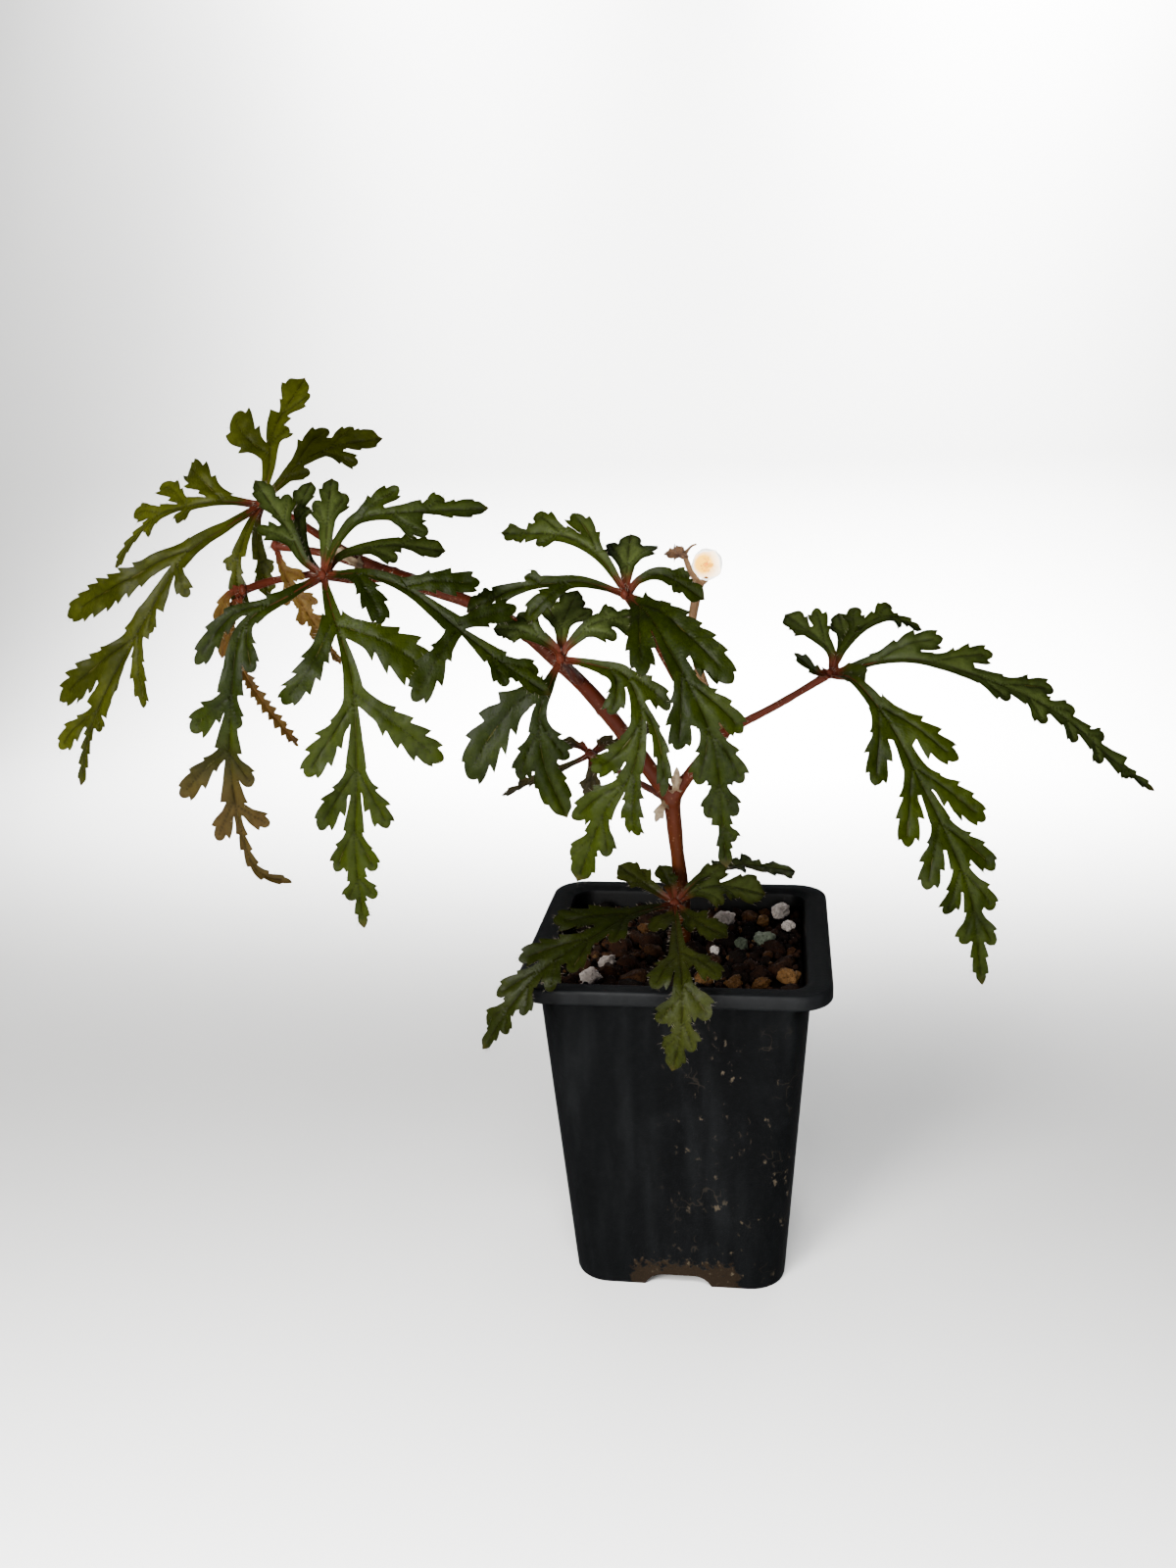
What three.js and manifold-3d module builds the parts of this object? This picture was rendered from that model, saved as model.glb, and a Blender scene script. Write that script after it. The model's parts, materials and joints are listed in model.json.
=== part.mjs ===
// A cut-leaved begonia in a square nursery pot: pot, soil and grit, branched stem,
// nine leaves, stipules and one small white bloom. Millimetres, +Z up.
// The origin is the middle of the flat pot base, +X is the viewer's right, -Y faces the viewer.

import * as THREE from "three";
import { mergeVertices } from "three/addons/utils/BufferGeometryUtils.js";
import Module from "manifold-3d";

const wasm = await Module();
wasm.setup();

// Driving dimensions
const gap = 0.3;             // clearance between pieces that touch
const potHeight = 80;
const potRimWidth = 70;      // across the flats of the rim
const potTopWidth = 61;      // outside of the wall just under the rim
const potBaseWidth = 50;
const potWall = 1.2;
const potFloor = 1.6;
const rimFlat = 4;           // width of the flat top of the rim
const rimSkirt = 3.4;        // height of the skirt that hangs from the rim
const rimCorner = 8;
const bodyCorner = 6.5;
const notchHeight = 3;
const notchTop = 12;
const notchFoot = 16;
const notchDepth = 6;
const soilTop = 75;          // just under the rim
const stemHole = 17;         // how deep the stem stands in the soil
const bladeThick = 0.8;
const petioleRadius = 0.95;

const v3 = (p) => new THREE.Vector3(...p);

// Solids

function solidOf(geometry) {
  const bare = geometry.index ? geometry.clone() : geometry;
  bare.deleteAttribute("normal");
  bare.deleteAttribute("uv");
  const merged = mergeVertices(bare, 1e-4);
  return new wasm.Manifold(new wasm.Mesh({
    numProp: 3,
    vertProperties: new Float32Array(merged.attributes.position.array),
    triVerts: new Uint32Array(merged.index.array),
  }));
}

function geometryOf(solid) {
  const mesh = solid.getMesh();
  const geometry = new THREE.BufferGeometry();
  geometry.setAttribute("position", new THREE.BufferAttribute(mesh.vertProperties, 3));
  geometry.setIndex(new THREE.BufferAttribute(mesh.triVerts, 1));
  geometry.computeVertexNormals();
  return geometry;
}

function joined(solids) {
  return solids.reduce((all, next) => all.add(next));
}

// The largest body of a solid, without the loose scraps that a cut may leave.
function mainBody(solid) {
  return solid.decompose().reduce((best, next) => (next.volume() > best.volume() ? next : best));
}

function indexed(points, faces) {
  const geometry = new THREE.BufferGeometry();
  const places = points.flatMap((p) => p.toArray());
  geometry.setAttribute("position", new THREE.Float32BufferAttribute(places, 3));
  geometry.setIndex(faces.flat());
  return geometry;
}

// A closed body through rings of equal count, wound counter-clockwise as seen from its end.
function loft(rings) {
  const count = rings[0].length;
  const points = rings.flat();
  const faces = [];
  for (let r = 0; r + 1 < rings.length; r++) {
    for (let i = 0; i < count; i++) {
      const a = r * count + i;
      const b = r * count + ((i + 1) % count);
      faces.push([a, b, b + count], [a, b + count, a + count]);
    }
  }
  const last = points.length - count;
  for (const [start, flip] of [[0, true], [last, false]]) {
    const ring = points.slice(start, start + count);
    const sum = ring.reduce((total, p) => total.add(p), new THREE.Vector3());
    const middle = points.push(sum.divideScalar(count)) - 1;
    for (let i = 0; i < count; i++) {
      const pair = [start + i, start + ((i + 1) % count)];
      faces.push(flip ? [pair[1], pair[0], middle] : [...pair, middle]);
    }
  }
  return indexed(points, faces);
}

// A tapering stalk: radii are spread evenly along the curve through the points.
function stalk(points, radii, sides, steps) {
  const curve = new THREE.CatmullRomCurve3(points.map(v3), false, "catmullrom", 0.5);
  const frames = curve.computeFrenetFrames(steps, false);
  const rings = [];
  for (let k = 0; k <= steps; k++) {
    const place = (k / steps) * (radii.length - 1);
    const low = Math.min(Math.floor(place), radii.length - 2);
    const radius = THREE.MathUtils.lerp(radii[low], radii[low + 1], place - low);
    const centre = curve.getPointAt(k / steps);
    const ring = [];
    for (let i = 0; i < sides; i++) {
      const turn = (i / sides) * 2 * Math.PI;
      ring.push(centre.clone()
        .addScaledVector(frames.normals[k], radius * Math.cos(turn))
        .addScaledVector(frames.binormals[k], radius * Math.sin(turn)));
    }
    rings.push(ring);
  }
  return solidOf(loft(rings));
}

function lump(centre, radii, turn, detail = 1) {
  const ball = new THREE.IcosahedronGeometry(1, detail);
  ball.scale(...radii);
  ball.rotateZ(turn);
  ball.translate(...centre);
  return solidOf(ball);
}

// Repeatable scatter in 0..1
function scatter(seed) {
  const wave = Math.sin(seed * 127.1 + 11.7) * 43758.5453;
  return wave - Math.floor(wave);
}

// Pot

function roundedSquare(width, z, corner, arc = 4) {
  const ring = [];
  for (let quarter = 0; quarter < 4; quarter++) {
    for (let k = 0; k <= arc; k++) {
      const turn = (quarter + k / arc) * Math.PI / 2;
      const offset = width / 2 - corner;
      const side = [[1, 1], [-1, 1], [-1, -1], [1, -1]][quarter];
      ring.push(new THREE.Vector3(
        side[0] * offset + corner * Math.cos(turn),
        side[1] * offset + corner * Math.sin(turn), z));
    }
  }
  return ring;
}

function innerWidth(z) {
  return THREE.MathUtils.lerp(potBaseWidth, potTopWidth, z / potHeight) - 2 * potWall;
}

function pot() {
  const under = potHeight - 1.6;
  const profile = [
    [potBaseWidth, 0, bodyCorner],
    [potTopWidth, under, bodyCorner],
    [potRimWidth - 2 * potWall, under, rimCorner - potWall],
    [potRimWidth - 2 * potWall, potHeight - rimSkirt, rimCorner - potWall],
    [potRimWidth, potHeight - rimSkirt, rimCorner],
    [potRimWidth, potHeight - 0.6, rimCorner],
    [potRimWidth - 1, potHeight, rimCorner - 0.5],
    [potRimWidth - 2 * rimFlat, potHeight, bodyCorner - 1],
    [innerWidth(potHeight), potHeight - 1.6, bodyCorner - potWall],
    [innerWidth(potFloor), potFloor, bodyCorner - potWall],
  ];
  let solid = solidOf(loft(profile.map(([width, z, corner]) => roundedSquare(width, z, corner))));
  for (let side = 0; side < 4; side++) {
    solid = solid.subtract(notch(side * Math.PI / 2));
  }
  return solid;
}

// The arched drainage notch in the foot of one side
function notch(turn) {
  const arch = new THREE.Shape();
  arch.moveTo(-notchFoot / 2, -1);
  arch.lineTo(notchFoot / 2, -1);
  arch.lineTo(notchFoot / 2, 0);
  arch.quadraticCurveTo(notchTop / 2 + 0.6, notchHeight * 0.9, notchTop / 2 - 2, notchHeight);
  arch.lineTo(-notchTop / 2 + 2, notchHeight);
  arch.quadraticCurveTo(-notchTop / 2 - 0.6, notchHeight * 0.9, -notchFoot / 2, 0);
  const cutter = new THREE.ExtrudeGeometry(arch, {
    depth: notchDepth + 2, bevelEnabled: false, curveSegments: 3,
  });
  cutter.rotateX(Math.PI / 2);
  cutter.translate(0, -potBaseWidth / 2 + notchDepth, 0);
  cutter.rotateZ(turn);
  return solidOf(cutter);
}

// Grit: loose stones that stand out by colour, each [x, y, size, height over the soil]
const pumice = [
  [9.5, 19.5, 5.4, 2.6], [23.6, 24.4, 5.4, 3.6], [25.4, 15.8, 3.6, 2], [7.9, -0.4, 3, 1.6],
  [-16.9, -8.4, 4, 2], [-19.6, -17.6, 5.6, 2.6], [-26, -1.6, 3.2, 1.6],
];
const zeolite = [[19.9, 8.6, 7, 2.6], [13.9, 4.6, 4.2, 2]];
const clay = [
  [6.4, -16.4, 5, 2.4], [13, -18.4, 4.4, 2.2], [19.3, -18.6, 4.2, 2.2], [25.4, -15, 6, 2.8],
  [-10, 12.8, 3.8, 1.8], [18.9, 19.4, 4, 2],
];

function pebble([x, y, size, rise], seed, grow = 0) {
  const half = size / 2;
  const radii = [half * (0.9 + 0.3 * scatter(seed)) + grow, half * 0.8 + grow, half * 0.75 + grow];
  const stone = new THREE.DodecahedronGeometry(1);
  stone.scale(...radii);
  stone.rotateZ(3 * scatter(seed + 5));
  stone.translate(x, y, soilTop + rise - half * 0.75);
  return solidOf(stone);
}

const stones = [
  ...pumice.map((place, i) => ({ name: `pumice_${i + 1}`, place, seed: i, colour: 0xe9e4da })),
  ...zeolite.map((place, i) => ({ name: `green_stone_${i + 1}`, place, seed: 20 + i, colour: 0x8d9a86 })),
  ...clay.map((place, i) => ({ name: `clay_pebble_${i + 1}`, place, seed: 40 + i, colour: 0xa9774e })),
];

// Soil: a plug of grit with a knobbly top
function soil(stemSolid) {
  const rounds = 5;
  const side = (z) => innerWidth(z) - 2 * gap;
  const edge = (z, scale = 1) => roundedSquare(side(soilTop) * scale, z, (bodyCorner - potWall) * scale, 5);
  const wave = (p) => Math.sin(p.x * 0.9 + p.y * 0.35) * Math.cos(p.y * 0.8 - p.x * 0.2);
  const bumpy = (p) => p.setZ(soilTop - 0.4 + 0.5 * wave(p));
  const rings = [
    roundedSquare(side(potFloor + gap), potFloor + gap, bodyCorner - potWall, 5),
    edge(soilTop - 1.2),
  ];
  for (let k = 0; k < rounds; k++) {
    rings.push(edge(soilTop, 0.98 * (1 - k / rounds)).map(bumpy));
  }
  let solid = solidOf(loft(rings)).add(gritBed());
  for (const { place, seed } of stones) {
    solid = solid.subtract(pebble(place, seed, gap));
  }
  return mainBody(solid.subtract(stemSolid));
}

// Dark lava grit that stands half out of the soil, clear of the loose stones and the stem
function gritBed() {
  const pitch = 6.9;
  const reach = 25;
  const grains = [];
  for (let row = -4; row <= 4; row++) {
    for (let column = -4; column <= 4; column++) {
      const seed = row * 17 + column;
      const x = pitch * (column + 0.7 * (scatter(seed) - 0.5));
      const y = pitch * (row + 0.7 * (scatter(seed + 900) - 0.5));
      const size = 4 + 2.8 * scatter(seed + 300);
      const clear = [...stones.map((stone) => stone.place), [0, 5, 7]]
        .every(([sx, sy, width]) => Math.hypot(x - sx, y - sy) > (width + size) / 2 + 0.2);
      if (clear && Math.max(Math.abs(x), Math.abs(y)) < reach) {
        grains.push(lump([x, y, soilTop], [size / 2, size * 0.42, size * 0.4], seed, 0));
      }
    }
  }
  return joined(grains);
}

// Stem: a leaning trunk that forks, a long left branch and a short right one
const fork = [-2, 3, 112];
const leftNode = [-60, -16, 168];
const rightNode = [10, 0, 129];
const peduncleTip = [5, 0, 163];
const trunk = [[0, 5, soilTop - stemHole], [0, 5, 77], [0, 4.5, 88], [-1, 4, 99], fork];
const leftBranch = [
  fork, [-12, 0, 128], [-20, -3, 139.5], [-27, -6, 147.5], [-36, -9, 156.5], [-46, -12, 162],
  leftNode, [-67, -17, 171.5],
];
const rightBranch = [fork, [1.5, 2, 117.5], [6, 1, 123.5], rightNode];

function stem(grow = 0) {
  const radii = (list) => list.map((r) => r + grow);
  const [[x, y, foot], ...rise] = trunk;
  return joined([
    stalk([[x, y, foot - grow], ...rise], radii([2, 2, 1.9, 1.7, 1.9]), 8, 8),
    stalk(leftBranch, radii([1.9, 2, 1.9, 1.8, 1.7, 1.6, 1.5, 1.9, 1.4]), 8, 12),
    stalk(rightBranch, radii([1.8, 1.5, 1.4, 1.7]), 8, 5),
    lump(fork, [2.2 + grow, 2.2 + grow, 2.3 + grow], 0),
    lump(leftNode, [2 + grow, 1.9 + grow, 1.9 + grow], 0),
    lump(rightNode, [1.9 + grow, 1.8 + grow, 1.8 + grow], 0),
  ]);
}

// Leaf blades

// The midrib of a leaflet, with the frame of its blade: across to the left, and out of the upper face.
class Midrib {
  constructor(points, facing) {
    this.curve = new THREE.CatmullRomCurve3(points.map(v3), false, "catmullrom", 0.5);
    this.length = this.curve.getLength();
    this.facing = v3(facing);
  }

  frame(distance) {
    const share = THREE.MathUtils.clamp(distance / this.length, 0, 1);
    const along = this.curve.getTangentAt(share);
    const up = this.facing.clone().addScaledVector(along, -this.facing.dot(along)).normalize();
    const left = new THREE.Vector3().crossVectors(up, along);
    const at = this.curve.getPointAt(share).addScaledVector(along, distance - share * this.length);
    return { at, left, up };
  }

  // A point of the blade, whose sides rise from the midrib and droop again at the margin
  point(distance, across, height) {
    const { at, left, up } = this.frame(distance);
    const side = Math.abs(across);
    return at.addScaledVector(left, across).addScaledVector(up, height + 0.14 * side - 0.012 * side * side);
  }
}

const lobeAngle = 40;
const stationStep = 5.8;

// The outline of a lobe as shares of its reach and its width, from its rear root round to its front root
const broadLobe = [
  [0.32, -0.36], [0.66, -0.5], [0.85, -0.46], [0.88, -0.24], [1, 0.05], [0.84, 0.42], [0.5, 0.4], [0.26, 0.2],
];
const smallLobe = [[0.4, -0.45], [0.85, -0.35], [1, 0], [0.5, 0.45]];

// A lobe is [share of the midrib where it leaves, reach, angle to the midrib, width].
// It stays off its neighbours, room away along the midrib, and outside the strip's edge.
// The result is [distance, offset] pairs.
function lobeOutline([share, reach, angle = lobeAngle, width], length, room, stripEdge) {
  const turn = THREE.MathUtils.degToRad(angle - 2);
  const broad = Math.min(width ?? 0.1 * reach + 3.6, 0.9 * reach, 0.92 * room * Math.sin(turn));
  return (reach > 6 ? broadLobe : smallLobe).map(([out, aside]) => {
    const x = out * reach;
    const y = (aside + 0.1) * broad;
    const distance = share * length + x * Math.cos(turn) + y * Math.sin(turn);
    return [distance, Math.max(x * Math.sin(turn) - y * Math.cos(turn), stripEdge(distance) + 0.35)];
  });
}

// Half the width of the strip along the midrib at a share of its length. From each sinus
// it widens like a wedge up to the next lobe, and past the last lobe it swells to the end lobe.
function stripHalf(share, shares, tipStart, tipHalf) {
  if (share > tipStart) {
    const end = (share - tipStart) / (1 - tipStart);
    return 0.7 + (tipHalf - 0.7) * Math.sin(Math.PI * end ** 1.5);
  }
  const before = Math.max(0, ...shares.filter((at) => at < share));
  const after = Math.min(...shares.filter((at) => at >= share), tipStart);
  const wedge = (share - before) / Math.max(after - before, 0.01);
  return 0.6 + (share < shares[0] ? 1.4 : 2) * wedge ** 1.6;
}

// Triangles across a lobe, between its rear and its front chain of points, counter-clockwise on the left
// side: of all ways to join the chains, the one with the shortest edges and no triangle turned over.
function across(rear, front, flat) {
  if (rear.length + front.length < 3) return { faces: [], cost: 0 };
  const turnedOver = 1000;
  const corner = (id) => new THREE.Vector2(flat[id][0], Math.abs(flat[id][1]));
  const choices = [];
  for (const next of [rear[1], front[1]].filter((id) => id !== undefined)) {
    const [a, b, c] = [rear[0], front[0], next].map(corner);
    const rest = next === rear[1] ? across(rear.slice(1), front, flat) : across(rear, front.slice(1), flat);
    const turn = b.clone().sub(a).cross(c.clone().sub(a));
    const size = a.distanceTo(b) + b.distanceTo(c) + c.distanceTo(a);
    choices.push({
      faces: [[rear[0], front[0], next], ...rest.faces],
      cost: rest.cost + size + (turn > 0.01 ? 0 : turnedOver),
    });
  }
  return choices.reduce((best, other) => (other.cost < best.cost ? other : best));
}

// One leaflet from the hub of its leaf, as a thin closed body with a lobed outline
function leaflet(hub, facing, { along, left = [], right = [], tip, slim = 1 }) {
  const rib = new Midrib([hub, ...along.map((p) => p.map((value, i) => value + hub[i]))], facing);
  const length = rib.length;
  const steps = Math.max(4, Math.round(length / stationStep));
  const tipStart = Math.min(0.9, Math.max(0.2, ...[...left, ...right].map(([share]) => share)));
  const tipHalf = tip ?? 0.17 * (1 - tipStart) * length + 0.8;
  const flat = [];
  const put = (s, w) => flat.push([s, w]) - 1;
  const ribIds = Array.from({ length: steps + 1 }, (_, k) => put((k / steps) * length, 0));

  // One half of the blade: a strip beside the midrib with the lobes on its outer edge
  const half = (lobes, side) => {
    const shares = lobes.map(([share]) => share);
    const web = Array.from({ length: steps }, (_, k) =>
      put((k / steps) * length, slim * side * stripHalf(k / steps, shares, tipStart, tipHalf)));
    const edge = [];
    const faces = [];
    web.push(put((1 - 0.25 / steps) * length, side * 0.45 * tipHalf));
    const stripEdge = (distance) => {
      const place = THREE.MathUtils.clamp(distance / length, 0, 1) * steps;
      const k = Math.min(Math.floor(place), steps - 1);
      return side * THREE.MathUtils.lerp(flat[web[k]][1], flat[web[k + 1]][1], place - k);
    };
    for (let k = 0; k < steps; k++) {
      const next = web[k + 1];
      faces.push([ribIds[k], next, web[k]], [ribIds[k], ribIds[k + 1], next]);
      edge.push(web[k]);
      const i = lobes.findIndex(([share]) => Math.floor(share * steps) === k);
      if (i >= 0) {
        const room = [lobes[i - 1], lobes[i + 1]].filter(Boolean)
          .map(([share]) => Math.abs(share - lobes[i][0]) * length);
        const outline = lobeOutline(lobes[i], length, Math.min(...room), stripEdge);
        const ids = outline.map(([s, w]) => put(s, side * w));
        const end = Math.floor(ids.length / 2);
        const rear = [web[k], ...ids.slice(0, end + 1)];
        const front = [next, ...ids.slice(end).reverse()];
        faces.push(...across(rear, front, flat).faces);
        edge.push(...ids);
      }
    }
    edge.push(web[steps]);
    return { edge, faces: side > 0 ? faces : faces.map(([a, b, c]) => [a, c, b]) };
  };

  const leftHalf = half(left, 1);
  const rightHalf = half(right, -1);
  const upper = [...leftHalf.faces, ...rightHalf.faces];
  const count = flat.length;
  const points = [bladeThick / 2, -bladeThick / 2].flatMap((h) => flat.map(([s, w]) => rib.point(s, w, h)));
  const lower = upper.map(([a, b, c]) => [a + count, c + count, b + count]);
  const outline = [ribIds[0], ...rightHalf.edge, ribIds[steps], ...leftHalf.edge.reverse()];
  const walls = outline.flatMap((a, i) => {
    const b = outline[(i + 1) % outline.length];
    return [[a + count, b + count, b], [a + count, b, a]];
  });
  return solidOf(indexed(points, [...upper, ...lower, ...walls]));
}

// Leaves: where the leaflets meet, the stalk's way from the stem, where the upper face looks,
// and for each leaflet its way from the hub, its lobes [share, reach, angle, width] on either side,
// the half width of its end lobe (tip) and how slim its strip is
const leaves = [
  {
    name: "leaf_tip_upper",
    hub: [-93, -4, 183],
    petiole: [[-67, -17, 171.5], [-77, -11, 176], [-87, -6, 181]],
    facing: [0.1, -0.8, 0.6],
    leaflets: [
      { along: [[1.5, 3, 7], [1.5, 9, 16], [7, 17, 27]], left: [[0.36, 13, 60, 6]],
        right: [[0.5, 5], [0.7, 7]], tip: 4 },
      { along: [[4, 2, 4], [9, 6, 9], [16, 11, 12], [25, 15, 13]], left: [[0.35, 12, 30], [0.64, 7]],
        right: [[0.24, 6], [0.55, 10, 45]] },
      { along: [[-9, -4, 1], [-16, -4, 0], [-24, -2, -2], [-32, 0, -8], [-37, 1, -14]],
        left: [[0.36, 5, 60], [0.6, 5]], right: [[0.19, 15, 55, 7], [0.38, 11, 50], [0.56, 9]], tip: 1 },
      { along: [[-5, -7, -4], [-14, -12, -10], [-22, -16, -22], [-33, -17, -38], [-40, -16, -50],
        [-44, -15, -62]],
        left: [[0.29, 8, 55], [0.5, 17]], right: [[0.24, 37, 36], [0.52, 26, 27], [0.76, 15, 32]],
        tip: 1 },
      { along: [[-2, -5, -6], [-4, -8, -15]], right: [[0.59, 4]] },
      { along: [[-2, 1, -8], [0, -1, -21]], left: [[0.59, 4]] },
    ],
  },
  {
    name: "leaf_tip_front",
    hub: [-71, -30, 170],
    petiole: [[-61, -17, 168], [-66, -23, 168]],
    facing: [0.1, -0.8, 0.55],
    leaflets: [
      { along: [[-4, 1, 3], [-8, 4, 9], [-17, 11, 19]], left: [[0.34, 9, 40]], right: [[0.53, 7]],
        tip: 2.2 },
      { along: [[-5, 5, 4], [-8, 11, 12], [-7, 18, 18]], right: [[0.6, 4]], tip: 2.2 },
      { along: [[1, 0, 5], [1, 4, 13], [0, 11, 19]], left: [[0.43, 7, 30]], right: [[0.47, 8, 30]],
        tip: 2 },
      { along: [[5, -4, 7], [11, -6, 12], [21, -5, 13], [36, -1, 13]], left: [[0.4, 10], [0.7, 5]],
        right: [[0.55, 9, 45]], tip: 2.2 },
      { along: [[4, 4, 4], [13, 9, 5], [23, 14, 3]], left: [[0.66, 4]], right: [[0.41, 7]] },
      { along: [[11, -7, 1], [21, -10, -2], [31, -13, -9], [39.8, -13, -16.2], [48.9, -12, -22.9]],
        left: [[0.38, 15, 47], [0.61, 13, 62], [0.8, 8, 26]],
        right: [[0.19, 15], [0.62, 17, 86], [0.76, 7, 36]], tip: 1.8 },
      { along: [[4, -8, -6], [9, -14, -19], [9, -16, -38], [7, -15, -55], [7, -13, -73]],
        left: [[0.18, 21, 55], [0.36, 22, 56], [0.55, 14, 34], [0.72, 10, 28], [0.85, 6]],
        right: [[0.16, 23, 44], [0.38, 19, 37], [0.55, 16, 32], [0.72, 10, 30], [0.86, 5, 36]] },
      { along: [[-5, -6, -3], [-14, -11, -9], [-17, -14, -24], [-19, -13, -41], [-17, -11, -60],
        [-10, -8, -65]],
        left: [[0.21, 14, 22], [0.42, 9, 18], [0.54, 10, 25], [0.68, 11, 28]],
        right: [[0.13, 22, 22], [0.42, 13, 48], [0.55, 17, 52], [0.67, 13, 33]], tip: 1 },
    ],
  },
  {
    name: "leaf_middle_front",
    hub: [-21, -34, 153],
    petiole: [[-22, -4, 142], [-22, -18, 148]],
    facing: [0.05, -0.85, 0.5],
    leaflets: [
      { along: [[-2, -1, 3], [-8, -1, 6], [-14, 1, 6]], left: [[0.56, 4]], right: [[0.35, 7, 35]] },
      { along: [[0, 2, 4], [0, 6, 7], [2, 13, 12]], left: [[0.38, 8, 45]], right: [[0.36, 9, 35]] },
      { along: [[2, 0, 3], [7, 1, 7], [15, 5, 8]], left: [[0.6, 4]], right: [[0.36, 8], [0.66, 7]],
        tip: 1.6 },
      { along: [[8, -3, -1], [14, -5, -3], [17, -8, -11], [15, -10, -21], [9, -10, -30], [3, -8, -45]],
        left: [[0.24, 10], [0.34, 17, 30], [0.56, 14, 40], [0.74, 9, 32]],
        right: [[0.17, 13, 32], [0.39, 18, 28], [0.61, 13, 28], [0.82, 7, 30]] },
      { along: [[-2, -4, -5], [-4, -6, -11], [-3, -7, -21], [1, -6, -32]],
        left: [[0.38, 11, 32]], right: [[0.2, 22, 50, 8], [0.46, 10]], tip: 3.2 },
    ],
  },
  {
    name: "leaf_middle_upper",
    hub: [-8, -28, 165],
    petiole: [[8.5, 0.5, 126.5], [6, -7, 133], [1, -14, 144], [-4, -21, 156]],
    facing: [-0.05, -0.85, 0.5],
    leaflets: [
      { along: [[-5, 1, 7], [-11, 3, 11], [-17, 5, 12], [-27, 8, 12]], left: [[0.6, 5], [0.82, 3]],
        right: [[0.3, 10, 35], [0.56, 9, 35]], tip: 1.8 },
      { along: [[0, 1, 3], [0, 5, 7], [0, 11, 11]], left: [[0.36, 9, 35]], right: [[0.4, 8, 50]],
        tip: 2.6 },
      { along: [[3, -1, 3], [8, -2, 4], [16, -2, -1]], left: [[0.56, 4]], right: [[0.62, 3]], tip: 2 },
      { along: [[-8, -3, 3], [-14, -4, 3], [-22, -4, 2], [-33, -2, -3]], left: [[0.35, 12]],
        right: [[0.5, 4], [0.8, 4]], tip: 2.8 },
      { along: [[6, -12, -3], [10, -18, -8], [15, -23, -16], [19, -25, -26], [20, -25, -38],
        [21, -24, -50]],
        left: [[0.09, 29, 19], [0.44, 14, 29], [0.6, 11, 28], [0.75, 7, 30], [0.87, 4]],
        right: [[0.11, 19, 25], [0.41, 16, 30], [0.58, 12, 24], [0.75, 7, 28]], tip: 1.4 },
    ],
  },
  {
    name: "leaf_right",
    hub: [34, -6, 144],
    petiole: [[10, 0, 129], [22, -3, 136]],
    facing: [0, -0.8, 0.6],
    leaflets: [
      { along: [[0, 2, 4], [-3, 6, 7], [-10, 13, 11]], left: [[0.6, 4]], right: [[0.36, 10, 35]],
        tip: 2.6 },
      { along: [[2, 2, 4], [3, 7, 7], [2, 14, 11]], left: [[0.6, 4]], right: [[0.55, 5]], tip: 2.4 },
      { along: [[3, 3, 5], [8, 10, 9], [14, 15, 10], [21, 19, 6]], left: [[0.35, 8, 45], [0.6, 5]],
        right: [[0.7, 4]], tip: 1 },
      { along: [[-3, -3, 1], [-8, -2, 5]], tip: 1.2 },
      { along: [[4, -4, 1], [7, -7, -1]], tip: 2.4 },
      { along: [[13, -5, 4], [23, -6, 3], [38, -3, -3], [50, 0, -10], [60, 3, -19], [71, 6, -28]],
        left: [[0.12, 15, 27], [0.27, 14, 30], [0.46, 13, 25], [0.6, 7, 25], [0.74, 5]],
        right: [[0.4, 8, 26], [0.54, 7], [0.66, 6], [0.77, 5], [0.88, 3]], tip: 0.9 },
      { along: [[5, -9, 0], [12, -15, -8], [18, -19, -19], [24, -22, -31], [29, -23, -44],
        [32, -22, -63]],
        left: [[0.21, 20, 30], [0.39, 19, 32], [0.55, 15, 31], [0.68, 11, 27], [0.79, 9, 25]],
        right: [[0.22, 17, 35], [0.39, 17, 35], [0.54, 15, 38], [0.67, 11, 38], [0.79, 8, 30]],
        tip: 1.6 },
    ],
  },
  {
    name: "leaf_base",
    hub: [-1, -7, 90],
    petiole: [[0, 4.5, 85], [0, -1, 88]],
    facing: [0, -0.6, 0.8],
    leaflets: [
      { along: [[-8, -12, 2], [-15, -22, 1], [-25, -31, -3], [-32, -35, -10], [-39, -35, -21]],
        left: [[0.27, 9, 30], [0.47, 10, 32], [0.64, 7, 50], [0.78, 5]],
        right: [[0.24, 19, 32], [0.45, 16, 24], [0.64, 12, 24], [0.81, 8, 28]], tip: 1.6 },
      { along: [[-6, 3, 3], [-14, 9, 6]], left: [[0.5, 3]], right: [[0.5, 4]], tip: 2.6 },
      { along: [[-1, 3, 3], [-4, 7, 7]], right: [[0.45, 3]], tip: 2.2 },
      { along: [[6, 2, 3], [12, 4, 3], [21, 7, 0]], left: [[0.46, 4]], right: [[0.28, 4], [0.6, 4]],
        tip: 3 },
      { along: [[6, 4, 5], [14, 16, 4], [28, 29, -2]], left: [[0.36, 4], [0.58, 5]],
        right: [[0.5, 4], [0.74, 4]] },
      { along: [[5, -7, -1], [13, -15, -2]], left: [[0.5, 4]], right: [[0.5, 3]] },
      { along: [[2, -17, -2], [4, -32, -5], [4, -36, -14], [2, -36, -24]],
        left: [[0.17, 22, 28], [0.5, 14, 32], [0.72, 8]],
        right: [[0.3, 18, 22], [0.6, 10, 32], [0.79, 7, 25]], tip: 1.8 },
    ],
  },
  {
    name: "leaf_back",
    hub: [-28, 50, 111],
    petiole: [[-2, 3, 112], [-14, 28, 110]],
    facing: [0, -0.5, 0.85],
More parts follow.
